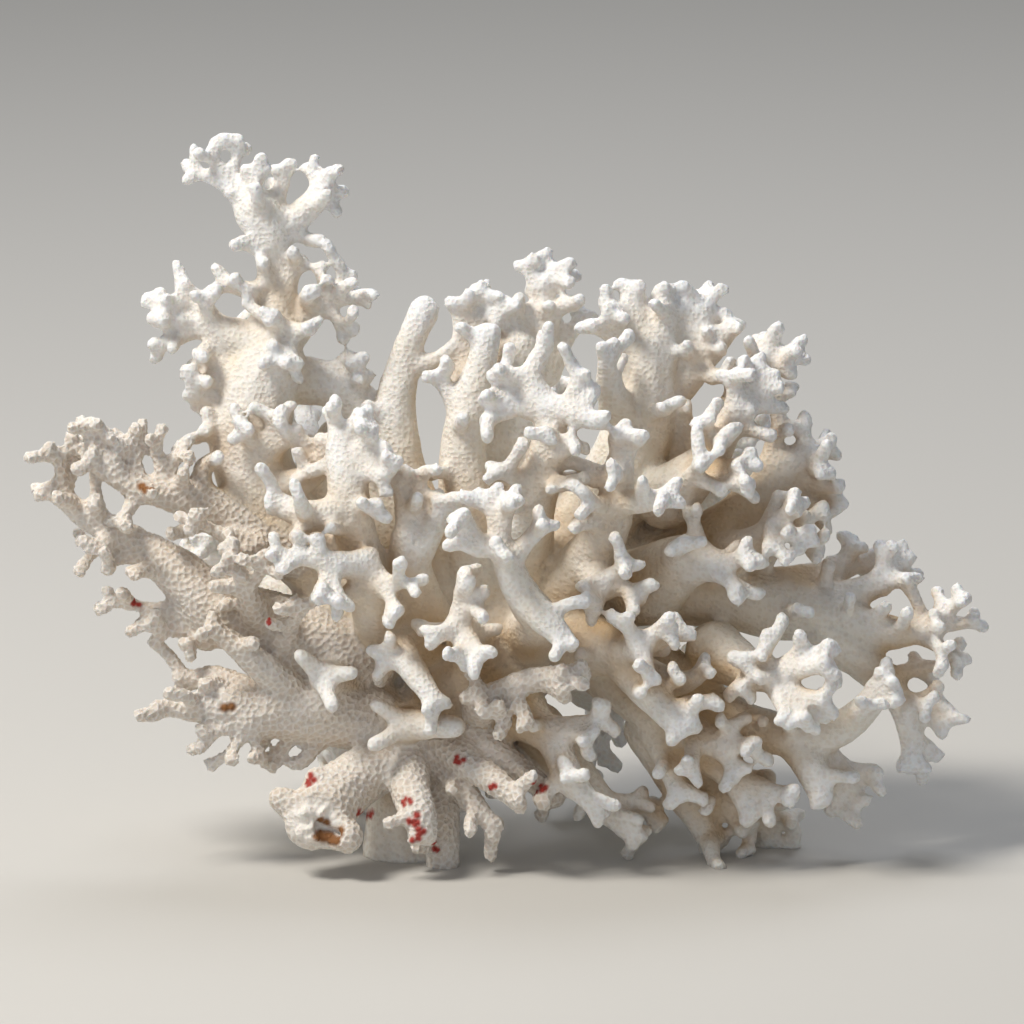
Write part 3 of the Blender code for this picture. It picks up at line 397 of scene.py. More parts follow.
        *fork((-9.5, 46.6, -23, 2.8), (-5.6, 42, -28), (-9.6, 42, -27)),
    ],
    "front_crown_fork": [
        run((2, 60, -2, 8), (4, 70, -12, 6), (6.4, 79, -18, 4.8), (8.4, 87, -21, 4), (8, 92, -22, 3.6)),
        run((8, 92, -22, 3.4), (13.6, 90.4, -25, 3), (17.8, 89, -27, 2.6)),
        run((8, 92, -22, 3.2), (4.4, 98, -21, 3), (7.6, 104.6, -20, 2.4)),
        *fork((12, 91.6, -23, 2.8), (14.2, 98, -23)),
        run((8, 91, -22, 3.4), (1.4, 92.6, -20, 3.2)),
        *fork((1.6, 92.6, -20, 3), (-2.2, 98, -19), (-4.2, 94, -22), (-4.6, 89.4, -20)),
        *fork((7, 81, -20, 3), (13, 84.4, -25)),
        *fork((5, 76, -17, 3.4), (13, 76.8, -24), (-2, 79.4, -22)),
    ],
    "front_right_column": [
        run((13, 56, -4, 8), (18, 64, -13, 6), (21.4, 72.6, -18, 4.8), (22.4, 80, -21, 3.8)),
        *fork((22.4, 80, -21, 3), (21.4, 86, -23), (25.4, 85.6, -23)),
        run((21, 73, -19, 3.4), (27, 73, -24, 2.9), (32, 73.8, -27, 2.5)),
        *fork((20, 72, -20, 3), (16, 72.6, -26)),
        run((16, 60, -12, 5), (19.4, 55.6, -18, 3.6)),
        *fork((19, 57, -17, 3.4), (26.6, 54.4, -20), (23.8, 60, -22), (17.4, 51.6, -22)),
    ],
    "back_low_limb": [
        run((-19, 14, 10, 8), (-20, 13, 26, 6), (-21, 11, 38, 4.4)),
        run((-21, 12, 34, 4), (-27, 9, 42, 3.4), (-30, 9, 48, 3)),
        run((-20, 12, 34, 4), (-15, 9, 42, 3.4), (-10, 10, 48, 3)),
        *fork((-21, 12, 38, 3.6), (-21, 21, 47), (-12, 20, 42), (-30, 20, 44)),
        *spray(11, (-22, 16, 16, 6), (-0.9, 0.55, 0.75), 15, 2),
    ],
    "back_left": spray(3, (-30, 44, 8, 8.5), (-0.55, 0.34, 0.8), 21),
    "back_upper_left": spray(8, (-34, 64, 8, 7.5), (-0.1, 0.75, 0.75), 17, 2),
    "back_centre": spray(5, (-6, 44, 12, 9.5), (-0.1, 0.3, 1), 24),
    "back_crown": spray(6, (4, 66, 12, 9), (-0.1, 0.75, 0.85), 20),
    "back_right": spray(17, (26, 58, 12, 8.5), (0.35, 0.2, 0.9), 22),
    "back_upper_right": spray(12, (30, 74, 10, 7.5), (0.4, 0.6, 0.8), 17, 2),
    "back_low_right": [
        *spray(21, (14, 42, 12, 8.5), (0.45, -0.35, 0.85), 20),
    ],
}

WEATHERED = ("left_limb", "lower_left_fingers", "left_upper_limb", "broken_foot", "foot_fingers",
             "textured_finger")
print("limbs:", len(LIMBS), "runs:", sum(len(runs) for runs in LIMBS.values()))

# %% [markdown]
# Branchlets and knobs.
# A real finger is never a plain rod. It narrows towards its end and divides there into two or three
# short branchlets, and more of them stand on its sides, most on the side that faces open water.
# A seeded rule grows them, so that no finger repeats another. Small balls at their ends make the
# blunt knobs, and they melt into the finger when the skin is fused.

# %% Smooth paths
THICK = 4.6                # mm, a limb this thick ends in no tip
TIP_TAPER = 0.86           # a finger's end against its own width further down
SLIM = (0.80, 0.92)        # the skin's share of the solids' radius, at 2 mm and at 9 mm
COLONY_CENTRE = np.array((0.0, 55.0, 22.0))


def smooth_path(points, steps=4):
    """A Catmull-Rom curve through the points, as an array of across, up, away and radius."""
    knots = np.array([points[0], *points, points[-1]])
    path = []
    for a, b, c, d in zip(knots, knots[1:], knots[2:], knots[3:]):
        for t in np.linspace(0, 1, steps, endpoint=False):
            path.append(0.5 * (2 * b + (c - a) * t + (2 * a - 5 * b + 4 * c - d) * t ** 2
                               + (3 * b - a - 3 * c + d) * t ** 3))
    path = np.array([*path, points[-1]])
    path[:, 3] *= np.interp(path[:, 3], (2, 9), SLIM)
    if path[-1, 3] < THICK:
        path[-steps:, 3] *= np.linspace(0.95, TIP_TAPER, steps)
    return path


def unit(vector):
    """The vector at length one."""
    return np.array(Vector(vector).normalized())


def any_side(rng):
    """A random direction."""
    return unit((rng.gauss(0, 1), rng.gauss(0, 1), rng.gauss(0, 1)))


# the limbs whose fingers look the most slender in the photo
FINE = ("left_limb", "left_upper_limb", "lower_left_fingers", "spire_head", "spire_fan",
        "front_lower_fork", "right_limb")
FINE_SHARE = (0.74, 1.0)   # how slender their fingers are, at 2 mm and at 4.5 mm
PATHS = {name: [smooth_path(points) for points in runs] for name, runs in LIMBS.items()}
for path in [path for name in FINE for path in PATHS[name]]:
    path[:, 3] *= np.interp(path[:, 3], (2.0, 4.5), FINE_SHARE)
AXES = np.concatenate([path for paths in PATHS.values() for path in paths])
print("points along the limbs' axes:", len(AXES))

# %% [markdown]
# Room to grow.
# A coral's fingers stay apart, because polyps that shade each other die back. A branchlet only
# grows where its end keeps clear of every other limb and of the branchlets that are there already.

# %% Clear of the others
ROOM = 1.9                 # mm between a branchlet's end and anything else's axis, less its radius
ENDS = []


def has_room(root, end):
    """Whether a branchlet's end is clear of all other limbs and branchlets."""
    others = AXES[np.linalg.norm(AXES[:, :3] - root[:3], axis=1) > root[3] + 3.0]
    gaps = np.linalg.norm(others[:, :3] - end, axis=1) - others[:, 3]
    near = [spot for spot in ENDS if np.linalg.norm(spot - end) < 2 * ROOM]
    return gaps.min() > ROOM and len(near) < 2


# %% Branchlets
SIDE_STEP = (3.4, 6.5)     # mm along a limb between two branchlets
TWIG_REACH = (4.0, 8.0)    # mm that a side shoot with branchlets of its own stands out
TWIG_SHARE = 0.4           # how many side shoots of a stouter limb are twigs
SIDE_REACH = (2.4, 6.0)    # mm that one stands out from the limb
END_REACH = (1.2, 3.0)
KNOB_RADIUS = (0.95, 1.25)
STOUT = 8.0                # mm, a limb this thick is bare
ROOT_RADIUS, END_RADIUS = (1.4, 1.8), (1.15, 1.45)
MIDDLE, BEYOND = 0.55, 0.45  # the shares of a branchlet before and beyond its bend
BEND = 0.35
NARROWING = 0.88
KNOB_OUT = 0.8             # mm between a branchlet's end and a knob's middle
LEAN = (0.2, 0.8)          # how far a side shoot leans towards the limb's tip
FACING_IN = -0.15          # a shoot that points further into the colony than this isn't grown
TWIG_FROM, TWIG_STOUT = 2.4, 1.2
SPLAY = (0.5, 1.3)         # how far the shoots at a tip spread
UNEVEN = 0.4               # radians, how unevenly they stand around it
SUNK = 1.2                 # mm that their roots lie below the tip
EXTRA_REACH = 0.8          # mm, as the roots are sunk


def branchlet(root, direction, reach, rng, stout=1.0):
    """A short tapered finger with a bend in it, and one or two knobs at its end."""
    width = min(root[3], rng.uniform(*ROOT_RADIUS)) * stout
    bend = unit(direction + any_side(rng) * BEND)
    middle = root[:3] + direction * reach * MIDDLE
    end = middle + bend * reach * BEYOND
    tip_width = rng.uniform(*END_RADIUS)
    balls = [(*(end + unit(bend + any_side(rng)) * KNOB_OUT), rng.uniform(*KNOB_RADIUS))
             for _ in range(rng.choice((1, 2, 2)))]
    path = np.array([(*root[:3], width), (*middle, width * NARROWING), (*end, tip_width)])
    return path, balls


def branchlets_on(path, rng):
    """The branchlets of one limb: some along its sides and a few at its tip."""
    grown = []
    gone = 0.0
    wait = rng.uniform(*SIDE_STEP)
    for start, end in zip(path, path[1:]):
        gone += float(np.linalg.norm(end[:3] - start[:3]))
        if gone < wait or end[3] > STOUT:
            continue
        along = unit(end[:3] - start[:3])
        outward = unit(end[:3] - COLONY_CENTRE)
        side = any_side(rng)
        side = unit(side - along * side.dot(along))
        if side.dot(outward) > FACING_IN:
            direction = unit(side + along * rng.uniform(*LEAN))
            is_twig = end[3] > TWIG_FROM and rng.random() < TWIG_SHARE
            reach = end[3] + rng.uniform(*(TWIG_REACH if is_twig else SIDE_REACH))
            shoot = branchlet(end, direction, reach, rng, TWIG_STOUT if is_twig else 1.0)
            if has_room(end, shoot[0][-1, :3]):
                ENDS.append(shoot[0][-1, :3])
                grown += [shoot, *(end_branchlets(shoot[0], rng) if is_twig else [])]
                gone = 0.0
                wait = rng.uniform(*SIDE_STEP)
    return grown + end_branchlets(path, rng)


def end_branchlets(path, rng):
    """Two or three branchlets that divide the end of a thin limb."""
    grown = []
    tip = path[-1]
    if tip[3] < THICK:
        ahead = unit(tip[:3] - path[-2][:3])
        turn = any_side(rng)
        first = unit(turn - ahead * turn.dot(ahead))
        other = np.cross(ahead, first)
        count = rng.choice((2, 3, 3))
        for k in range(count):
            angle = 2 * math.pi * k / count + rng.uniform(-UNEVEN, UNEVEN)
            side = first * math.cos(angle) + other * math.sin(angle)
            direction = unit(ahead + side * rng.uniform(*SPLAY))
            root = tip - np.array((*ahead * SUNK, 0))
            shoot = branchlet(root, direction, rng.uniform(*END_REACH) + EXTRA_REACH, rng)
            if has_room(root, shoot[0][-1, :3]):
                ENDS.append(shoot[0][-1, :3])
                grown.append(shoot)
    return grown


# %% Grow them
BARE = ("trunk", "club_column", "broken_foot")     # no branchlets stand on these
growth = random.Random(41)
KNOBS = []
for name in [name for name in PATHS if name not in BARE]:
    for path in list(PATHS[name]):
        for shoot, balls in branchlets_on(path, growth):
            PATHS[name].append(shoot)
            KNOBS += balls
print("limbs and branchlets:", sum(len(paths) for paths in PATHS.values()), "knobs:", len(KNOBS))

# %% [markdown]
# One skin.
# Modelling each finger apart would leave a crease at each fork, and a coral has none. So all the
# tubes and balls go into one mesh, and a voxel remesh fuses them into one closed skin. Smoothing
# then fills the angles a little, which gives the soft webs of the real skeleton, and it takes a
# little off the fingers, so the tubes start that much stouter.

# %% Fuse the tubes
VOXEL = 0.72               # mm, under four pixels of the picture


def ball_mesh(balls):
    """Many balls in one mesh: one small ball's points are copied, scaled and moved in arrays."""
    bm = bmesh.new()
    bmesh.ops.create_icosphere(bm, subdivisions=2, radius=1.0)
    shape = np.array([vertex.co[:] for vertex in bm.verts])
    faces = np.array([[vertex.index for vertex in face.verts] for face in bm.faces])
    bm.free()
    centres = np.array([to_world(ball)[:] for ball in balls])
    radii = np.array([(ball[3] + PLUMP) * MM for ball in balls])
    points = centres[:, None, :] + shape[None] * radii[:, None, None]
    corners = faces[None] + (np.arange(len(balls)) * len(shape))[:, None, None]
    mesh = bpy.data.meshes.new("balls")
    mesh.from_pydata(points.reshape(-1, 3).tolist(), [], corners.reshape(-1, 3).tolist())
    return mesh


def tube_curve():
    """All limbs as fat tubes."""
    curve = bpy.data.curves.new("limbs", "CURVE")
    curve.dimensions = "3D"
    curve.bevel_depth = MM
    curve.bevel_resolution = 3
    curve.use_fill_caps = True
    for path in [path for paths in PATHS.values() for path in paths]:
        spline = curve.splines.new("POLY")
        spline.points.add(len(path) - 1)
        for knot, point in zip(spline.points, path):
            knot.co = (*to_world(point), 1)
            knot.radius = point[3] + PLUMP
    return curve


def as_mesh(data):
    """The finished mesh of some data, evaluated through a passing object."""
    holder = bpy.data.objects.new("limbs", data)
    bpy.context.scene.collection.objects.link(holder)
    bpy.context.view_layer.update()
    graph = bpy.context.evaluated_depsgraph_get()
    mesh = bpy.data.meshes.new_from_object(holder.evaluated_get(graph))
    bpy.data.objects.remove(holder, do_unlink=True)
    return mesh


def fused_skin():
    """The tubes and balls fused into one skin and relaxed."""
    joints = [point for paths in PATHS.values() for path in paths
              for point in (*path[:-1:4], path[-1])]
    bm = bmesh.new()
    bm.from_mesh(as_mesh(tube_curve()))
    bm.from_mesh(ball_mesh(joints + KNOBS))
    mesh = bpy.data.meshes.new("skin")
    bm.to_mesh(mesh)
    bm.free()
    skin = bpy.data.objects.new("skin", mesh)
    bpy.context.scene.collection.objects.link(skin)
    remesh = skin.modifiers.new("fuse", "REMESH")
    remesh.mode = "VOXEL"
    remesh.voxel_size = VOXEL * MM
    relax = skin.modifiers.new("relax", "SMOOTH")
    relax.factor = 0.6
    relax.iterations = 5
    bpy.context.view_layer.update()
    graph = bpy.context.evaluated_depsgraph_get()
    mesh = bpy.data.meshes.new_from_object(skin.evaluated_get(graph))
    bpy.data.objects.remove(skin, do_unlink=True)
    return mesh


skin_mesh = fused_skin()
print("fused skin:", len(skin_mesh.vertices), "points")

# %% [markdown]
# The cut and the box.
# The colony was taken from the reef with one flat cut, and it stands on that cut. The skin is cut by
# the floor's plane and closed there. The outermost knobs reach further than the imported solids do,
# so the whole skin is drawn in until it fills the same box: by 2 percent across, 6 in depth and 1
# in height. The shares that are printed say by how much.

# %% Cut flat and fit
def read_vectors(items, name, width=3):
    """One property of all items of a mesh, as an array."""
    values = np.empty(len(items) * width, dtype=np.float32)
    items.foreach_get(name, values)
    return values.reshape(-1, width) if width > 1 else values


bm = bmesh.new()
bm.from_mesh(skin_mesh)
everything = bm.verts[:] + bm.edges[:] + bm.faces[:]
sliced = bmesh.ops.bisect_plane(bm, geom=everything, dist=1e-6, plane_co=(0, 0, 0),
                                plane_no=(0, 0, -1), clear_outer=True)
rim = [item for item in sliced["geom_cut"] if isinstance(item, bmesh.types.BMEdge)]
bmesh.ops.edgeloop_fill(bm, edges=rim)
bmesh.ops.triangulate(bm, faces=[face for face in bm.faces if len(face.verts) > 4])
bm.to_mesh(skin_mesh)
bm.free()

points = read_vectors(skin_mesh.vertices, "co")
low, high = np.array(CAD_BOX, dtype=np.float32)
shrink = (high - low) / (points.max(0) - points.min(0))
for axis in range(3):
    bottom, top = points[:, axis].min(), points[:, axis].max()
    share = (points[:, axis] - bottom) / (top - bottom)
    points[:, axis] = low[axis] + share * (high[axis] - low[axis])
skin_mesh.vertices.foreach_set("co", points.ravel())
skin_mesh.update()
print("cut and fitted:", len(points), "points, drawn in to", [round(float(v), 3) for v in shrink])

# %% [markdown]
# Which limb owns which bit of skin.
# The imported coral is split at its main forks, and the skin has to be split in the same places. Each
# point of the skin belongs to the limb whose surface, as it was grown, is nearest. The same search gives the
# distance to the nearest tip, which decides how white the skeleton is.

# %% Owners and distances
NODES = list(LIMBS)


def tree_of(places):
    """A search tree over some places."""
    tree = KDTree(len(places))
    for number, place in enumerate(places):
        tree.insert(place, number)
    tree.balance()
    return tree


def smallest_gap(places, centres, radii):
    """For each place, which of the balls has its surface nearest."""
    chosen = []
    for start in range(0, len(places), 4000):
        some = places[start:start + 4000]
        square = (some ** 2).sum(1)[:, None] + (centres ** 2).sum(1)[None] - 2 * some @ centres.T
        chosen.append((np.sqrt(np.maximum(square, 0)) - radii).argmin(1))
    return np.concatenate(chosen)


samples = np.array([(*to_world(point), point[3] * MM, index) for index, name in enumerate(NODES)
                    for path in PATHS[name][:len(LIMBS[name])] for point in path],
                   dtype=np.float32)
owners = samples[smallest_gap(points, samples[:, :3], samples[:, 3]), 4].astype(int)
tips = [to_world(path[-1]) for paths in PATHS.values() for path in paths if path[-1][3] < THICK]
tip_tree = tree_of(tips)
tip_gap = np.array([tip_tree.find(place)[2] for place in points.tolist()])
print("limbs with skin:", len(set(owners.tolist())), "tips:", len(tips))

# %% [markdown]
# Tidy borders.
# Where two limbs run side by side, the owners of neighbouring points can flicker. Each point takes
# the owner that most of its neighbours have, a few times over, which draws the borders straight.

# %% Straighten the borders
edges = np.empty(len(skin_mesh.edges) * 2, dtype=np.int32)
skin_mesh.edges.foreach_get("vertices", edges)
edges = edges.reshape(-1, 2)


def spread(values, rounds):
    """The values averaged over neighbouring points, a few rounds."""
    count = np.bincount(edges.ravel(), minlength=len(values))
    for _ in range(rounds):
        total = np.bincount(edges[:, 0], values[edges[:, 1]], len(values))
        total += np.bincount(edges[:, 1], values[edges[:, 0]], len(values))
        values = (values + total) / (1 + count)
    return values


for _ in range(2):
    votes = np.full(len(points), -1.0)
    winner = owners.copy()
    for index in range(len(NODES)):
        share = spread((owners == index).astype(float), 3)
        better = share > votes
        votes[better] = share[better]
        winner[better] = index
    owners = winner
print("borders straightened")

# %% [markdown]
# How deep in the colony.
# The deep angles inside the colony are given painted shade: the recesses are coloured tan, while the
# open tips are white. How enclosed a point is comes from how much other skin lies in front of it: the
# skin's points are counted in a coarse grid of boxes, the counts are blurred, and each point looks up
# the count a few millimetres out along its normal.

# %% Recess depth
BOX = 2.0 * MM
LOOK_OUT = 4.5 * MM
MARGIN = 12                # boxes around the coral
BLUR, BLUR_REACH = 2.6, 7  # boxes
OPEN_AND_DEEP = (12, 92)   # percent of the skin that counts as quite open, and as not the deepest


def enclosure():
    """From 0 on open skin to 1 in the deepest angles."""
    normals = read_vectors(skin_mesh.vertices, "normal")
    origin = points.min(0) - MARGIN * BOX
    size = np.ceil((points.max(0) + MARGIN * BOX - origin) / BOX).astype(int)
    cells = np.floor((points - origin) / BOX).astype(int)
    counts, _ = np.histogramdd(cells, bins=size, range=[(0, s) for s in size])
    kernel = np.exp(-0.5 * (np.arange(-BLUR_REACH, BLUR_REACH + 1) / BLUR) ** 2)
    kernel /= kernel.sum()
    for axis in range(3):
        counts = np.apply_along_axis(np.convolve, axis, counts, kernel, mode="same")
    ahead = np.floor((points + normals * LOOK_OUT - origin) / BOX).astype(int)
    density = counts[ahead[:, 0], ahead[:, 1], ahead[:, 2]]
    open_skin, deep = np.percentile(density, OPEN_AND_DEEP)
    return np.clip((density - open_skin) / (deep - open_skin), 0, 1)


SUNLIT = (0.45, 1.0), (1.0, 0.45)   # shares of the height, and how much of the painted shade is left there
# recess is the strength of the painted shade, and it fades on the high limbs
recess = spread(enclosure(), 3) * np.interp(points[:, 2] / high[2], *SUNLIT)
# the white is partly the tips' own bleached colour and partly painted cool daylight on them
WHITE_REACH = 10 * MM      # how far from a tip the white fades out
LESS_WHITE_BELOW = 16 * MM      # the lowest limbs are less white, fading towards the floor
whiteness = np.clip(1.1 - tip_gap / WHITE_REACH, 0, 1) * np.clip(points[:, 2] / LESS_WHITE_BELOW, 0.2, 1)
print("mean recess", round(float(recess.mean()), 2), "mean whiteness", round(float(whiteness.mean()), 2))

# %% [markdown]
# The crusty limbs.
# On the left and low down the polyps' cups still stand open: a honeycomb of pits with raised rims,
# a little over a millimetre apart. Bump alone would leave the outline smooth, so this skin is
# made finer and the honeycomb is pressed into it. The cups sit where random seeds are nearest,
# which is how real cups share out the surface.

# %% Weathered skin
weathered_ids = [NODES.index(name) for name in WEATHERED]
weather = spread(np.isin(owners, weathered_ids).astype(float), 8)
weather = np.clip((weather - 0.35) / 0.5, 0, 1)
print("weathered share of the skin", round(float(weather.mean()), 3))

CUP_PITCH = 1.15 * MM
PIT = 0.20 * MM
RIM = 0.14 * MM


def cup_seeds(places, seed):
    """Places on the skin for the cups, none nearer to another than the cups' pitch."""
    kept = {}
    order = np.random.default_rng(seed).permutation(len(places))
    for place in places[order].tolist():
        box = tuple(int(value // CUP_PITCH) for value in place)
        near = (spot for shift in NEAR_BOXES
                for spot in kept.get((box[0] + shift[0], box[1] + shift[1], box[2] + shift[2]), ()))
        if all(math.dist(place, spot) > CUP_PITCH for spot in near):
            kept.setdefault(box, []).append(place)
    return [place for box in kept.values() for place in box]


NEAR_BOXES = [tuple(value - 1 for value in shift) for shift in np.ndindex(3, 3, 3)]


def cup_rims(places, seeds):
    """From 0 on a cup's floor to 1 on the rim between two cups."""
    tree = tree_of(seeds)
    rims = []
    for place in places.tolist():
        (_, _, first), (_, _, second) = tree.find_n(place, 2)
        rims.append(1 - min((second - first) / (0.5 * CUP_PITCH), 1))
    return np.array(rims)


# %% Finer skin where it is crusty
def finer_skin(mask):
    """The skin with its crusty faces divided once, and every point's values carried over."""
    bm = bmesh.new()
    bm.from_mesh(skin_mesh)
    bm.verts.ensure_lookup_table()
    layers = {name: bm.verts.layers.float.new(name) for name in VALUES}
    for name, layer in layers.items():
        for vertex, value in zip(bm.verts, VALUES[name].tolist()):
            vertex[layer] = value
    chosen = [edge for edge in bm.edges if mask[edge.verts[0].index] and mask[edge.verts[1].index]]
    bmesh.ops.subdivide_edges(bm, edges=chosen, cuts=1, use_grid_fill=True)
    bmesh.ops.triangulate(bm, faces=[face for face in bm.faces if len(face.verts) > 4])
    bm.to_mesh(skin_mesh)
    bm.free()


VALUES = {"recess": recess, "whiteness": whiteness, "weather": weather,
          "owner": owners.astype(float)}
finer_skin(weather > 0.02)
points = read_vectors(skin_mesh.vertices, "co")
VALUES = {name: read_vectors(skin_mesh.attributes[name].data, "value", 1) for name in VALUES}
print("finer skin:", len(points), "points")

# %% [markdown]
# The broken foot.
# The lowest foot on the left has snapped off. Its broken face is rough, hollow in the middle and
# without cups, with an orange brown cavity that a boring sponge or a worm left. The face is where a
# viewer in front sees it, so its points are found in the viewer's layout.

# %% Where a viewer sees a place
def layout_of(places):
    """Metres back to across, up and away in layout millimetres."""
    y = places[:, 1] / MM
    z = places[:, 2] / MM
    tilt_sin, tilt_cos = math.sin(VIEW_TILT), math.cos(VIEW_TILT)
    away = y * tilt_cos - z * tilt_sin + CENTRE_AWAY * tilt_cos ** 2
    up = y * tilt_sin + z * tilt_cos + CENTRE_AWAY * tilt_cos * tilt_sin
    return np.stack((places[:, 0] / MM + CENTRE_ACROSS, up, away), axis=1)


def front_point(layout, pixel, radius):
    """The number of the point that a viewer sees at a pixel of the photo, or None."""
    middle = np.array(((pixel[0] - PHOTO_ORIGIN[0]) / PHOTO_SCALE,
                       (PHOTO_ORIGIN[1] - pixel[1]) / PHOTO_SCALE))
    near = np.flatnonzero(np.linalg.norm(layout[:, :2] - middle, axis=1) < radius)
    return near[layout[near, 2].argmin()] if len(near) else None


# %% Broken face
BREAK_AT, BREAK_RADIUS, BREAK_DEPTH = (308, 818), 7.0, 1.5 * MM
CAVITY_AT, CAVITY_RADIUS, CAVITY_DEPTH = (331, 833), 2.6, 2.0 * MM
BREAK_ROUGH = 1.6 * MM


def broken_face(places):
    """Two masks: the whole broken face, and the cavity in it."""
    layout = layout_of(places)
    masks = []
    for pixel, radius, soft in ((BREAK_AT, BREAK_RADIUS, 0.3), (CAVITY_AT, CAVITY_RADIUS, 0.5)):
        middle = layout[front_point(layout, pixel, radius / 3)]
        gap = np.linalg.norm(layout - middle, axis=1) / radius
        masks.append(np.clip((1 - gap) / soft, 0, 1))
    return masks


# %% Lumps and honeycomb
normals = read_vectors(skin_mesh.vertices, "normal")
COARSE, FINER = 260, 520   # lumps to the metre, so they are about 4 mm and 2 mm across
LUMP_HEIGHT = 0.22 * MM
lumps = np.array([noise.noise(Vector(p) * COARSE) + 0.5 * noise.noise(Vector(p) * FINER)
                  for p in points.astype(float)])
height = lumps * LUMP_HEIGHT
crusty = np.flatnonzero(VALUES["weather"] > 0.02)
rim = np.ones(len(points))
rim[crusty] = cup_rims(points[crusty], cup_seeds(points[crusty], 5))
height += VALUES["weather"] * (RIM * rim - PIT * (1 - rim))
crater, cavity = broken_face(points)
height = height * (1 - crater) - crater * (BREAK_DEPTH + lumps * BREAK_ROUGH) - cavity * CAVITY_DEPTH
on_the_cut = points[:, 2] < 0.05 * MM
height[on_the_cut] = 0
points += normals * height[:, None]
points = np.clip(points, low, high)
skin_mesh.vertices.foreach_set("co", points.ravel())
skin_mesh.update()
# pit marks the floors of the crusty cups, which get painted shade
VALUES["pit"] = (1 - rim) * VALUES["weather"] * (1 - crater)
print("lumps up to", round(float(lumps.max()) * LUMP_HEIGHT / MM, 2), "mm")

# %% [markdown]
# Spots.
# A few small crusts of red algae sit on the low left of the colony, and the cavity of the broken
# foot is stained orange brown. Each spot is placed where a viewer in front sees it: the point of
# the skin that is nearest to the viewer there becomes its middle.

# %% Red crusts and the stain
RED_SPOTS = ((139, 602, 0.9), (270, 620, 0.8), (310, 778, 1.1), (365, 815, 1.2), (405, 800, 1.0),
             (412, 822, 1.3), (420, 835, 1.1), (455, 757, 1.0), (490, 787, 0.9), (537, 785, 1.1),
             (440, 850, 1.0))
STAINS = ((331, 833, 1.9), (322, 828, 1.3), (145, 487, 1.6), (226, 707, 1.4))


SPATTER = 6                # small dots make one ragged spot
DOT_SPREAD, DOT_RADIUS = 0.5, 0.9      # shares of the spot's radius


def spots(places, seed):
    """How much of a ragged spot colours each point; a place is two pixels and a radius in mm."""
    layout = layout_of(points)
    colour = np.zeros(len(points))
    rng = random.Random(seed)
    for right, down, radius in places:
        for _ in range(SPATTER):
            across = right + rng.gauss(0, DOT_SPREAD) * radius * PHOTO_SCALE
            below = down + rng.gauss(0, DOT_SPREAD) * radius * PHOTO_SCALE
            number = front_point(layout, (across, below), 0.8)
            if number is not None:
                gap = np.linalg.norm(points - points[number], axis=1) / MM
                colour = np.maximum(colour, np.clip(2 - 2 * gap / (radius * DOT_RADIUS), 0, 1))
    return colour


VALUES["red"] = spots(RED_SPOTS, 3)
VALUES["stain"] = spots(STAINS, 4)
print("red points:", int((VALUES["red"] > 0.1).sum()), "stained:", int((VALUES["stain"] > 0.1).sum()))

# %% [markdown]
# The pieces.
# The skin is split by owner into one mesh for each limb. Where a limb joins its neighbour, its
# border is folded inwards, less in thin places, and a fan of faces closes it where the fan stays
# inside the skin. Where it wouldn't, the limb stays open inside. The normals of the whole skin are
# kept along the borders, so the light runs over them with no line.

# %% Split the skin
owner_of_point = np.rint(VALUES.pop("owner")).astype(int)
owner_of_point = np.clip(owner_of_point, 0, len(NODES) - 1)
skin_mesh.calc_loop_triangles()
corners = np.empty(len(skin_mesh.loop_triangles) * 3, dtype=np.int32)
skin_mesh.loop_triangles.foreach_get("vertices", corners)
corners = corners.reshape(-1, 3)
normals = read_vectors(skin_mesh.vertices, "normal")
picked = owner_of_point[corners]
face_owner = np.where(picked[:, 1] == picked[:, 2], picked[:, 1], picked[:, 0])


def border_loops(faces):
    """The closed rows of points along the open borders of some triangles."""
    half = np.concatenate((faces[:, [0, 1]], faces[:, [1, 2]], faces[:, [2, 0]])).astype(np.int64)
    key = half[:, 0] * (1 << 32) + half[:, 1]
    back = half[:, 1] * (1 << 32) + half[:, 0]
    after = {}
    for start, end in half[~np.isin(back, key)].tolist():
        after.setdefault(start, []).append(end)
    loops = []
    while after:
        first_point = next(iter(after))
        loop = [first_point]
        while loop[-1] in after:
            here = loop[-1]
            following = after[here].pop()
            if not after[here]:
                del after[here]
            if following == first_point:
                break
            loop.append(following)
        loops.append(loop)
    return loops


FOLD = 0.9 * MM
inside_tree = BVHTree.FromPolygons(points.tolist(), corners.tolist())


def fold_depth(number):
    """How far a border point may be folded inwards; less where the limb is thin."""
    inward = -Vector(normals[number])
    start = Vector(points[number]) + inward * 0.05 * MM
    gap = inside_tree.ray_cast(start, inward, 2.5 * FOLD)[3]
    return FOLD if gap is None else min(FOLD, 0.4 * gap)


def inside(place):
    """Whether a point is inside the whole skin."""
    spot, normal, _, _ = inside_tree.find_nearest(Vector(place))
    return (Vector(place) - spot).dot(normal) < 0


def close_border(loop, place, places):
    """Faces that fold a border inwards and close it, where the closing fan stays inside."""
    outer = [place[number] for number in loop]
    inner = list(range(len(places), len(places) + len(loop)))
    places += [(points[number] - normals[number] * fold_depth(number)).tolist()
               for number in loop]
    following = list(range(1, len(loop))) + [0]
    faces = []
    for k, after in enumerate(following):
        faces += [(outer[after], outer[k], inner[k]), (outer[after], inner[k], inner[after])]
    centre = np.mean([places[k] for k in inner], axis=0)
    spokes = [np.array(places[k]) - centre for k in inner]
    if all(inside(centre + spoke * share) for spoke in spokes for share in (0, 0.4, 0.7, 0.9)):
        places.append(centre.tolist())
        faces += [(inner[after], inner[k], len(places) - 1) for k, after in enumerate(following)]
    return faces


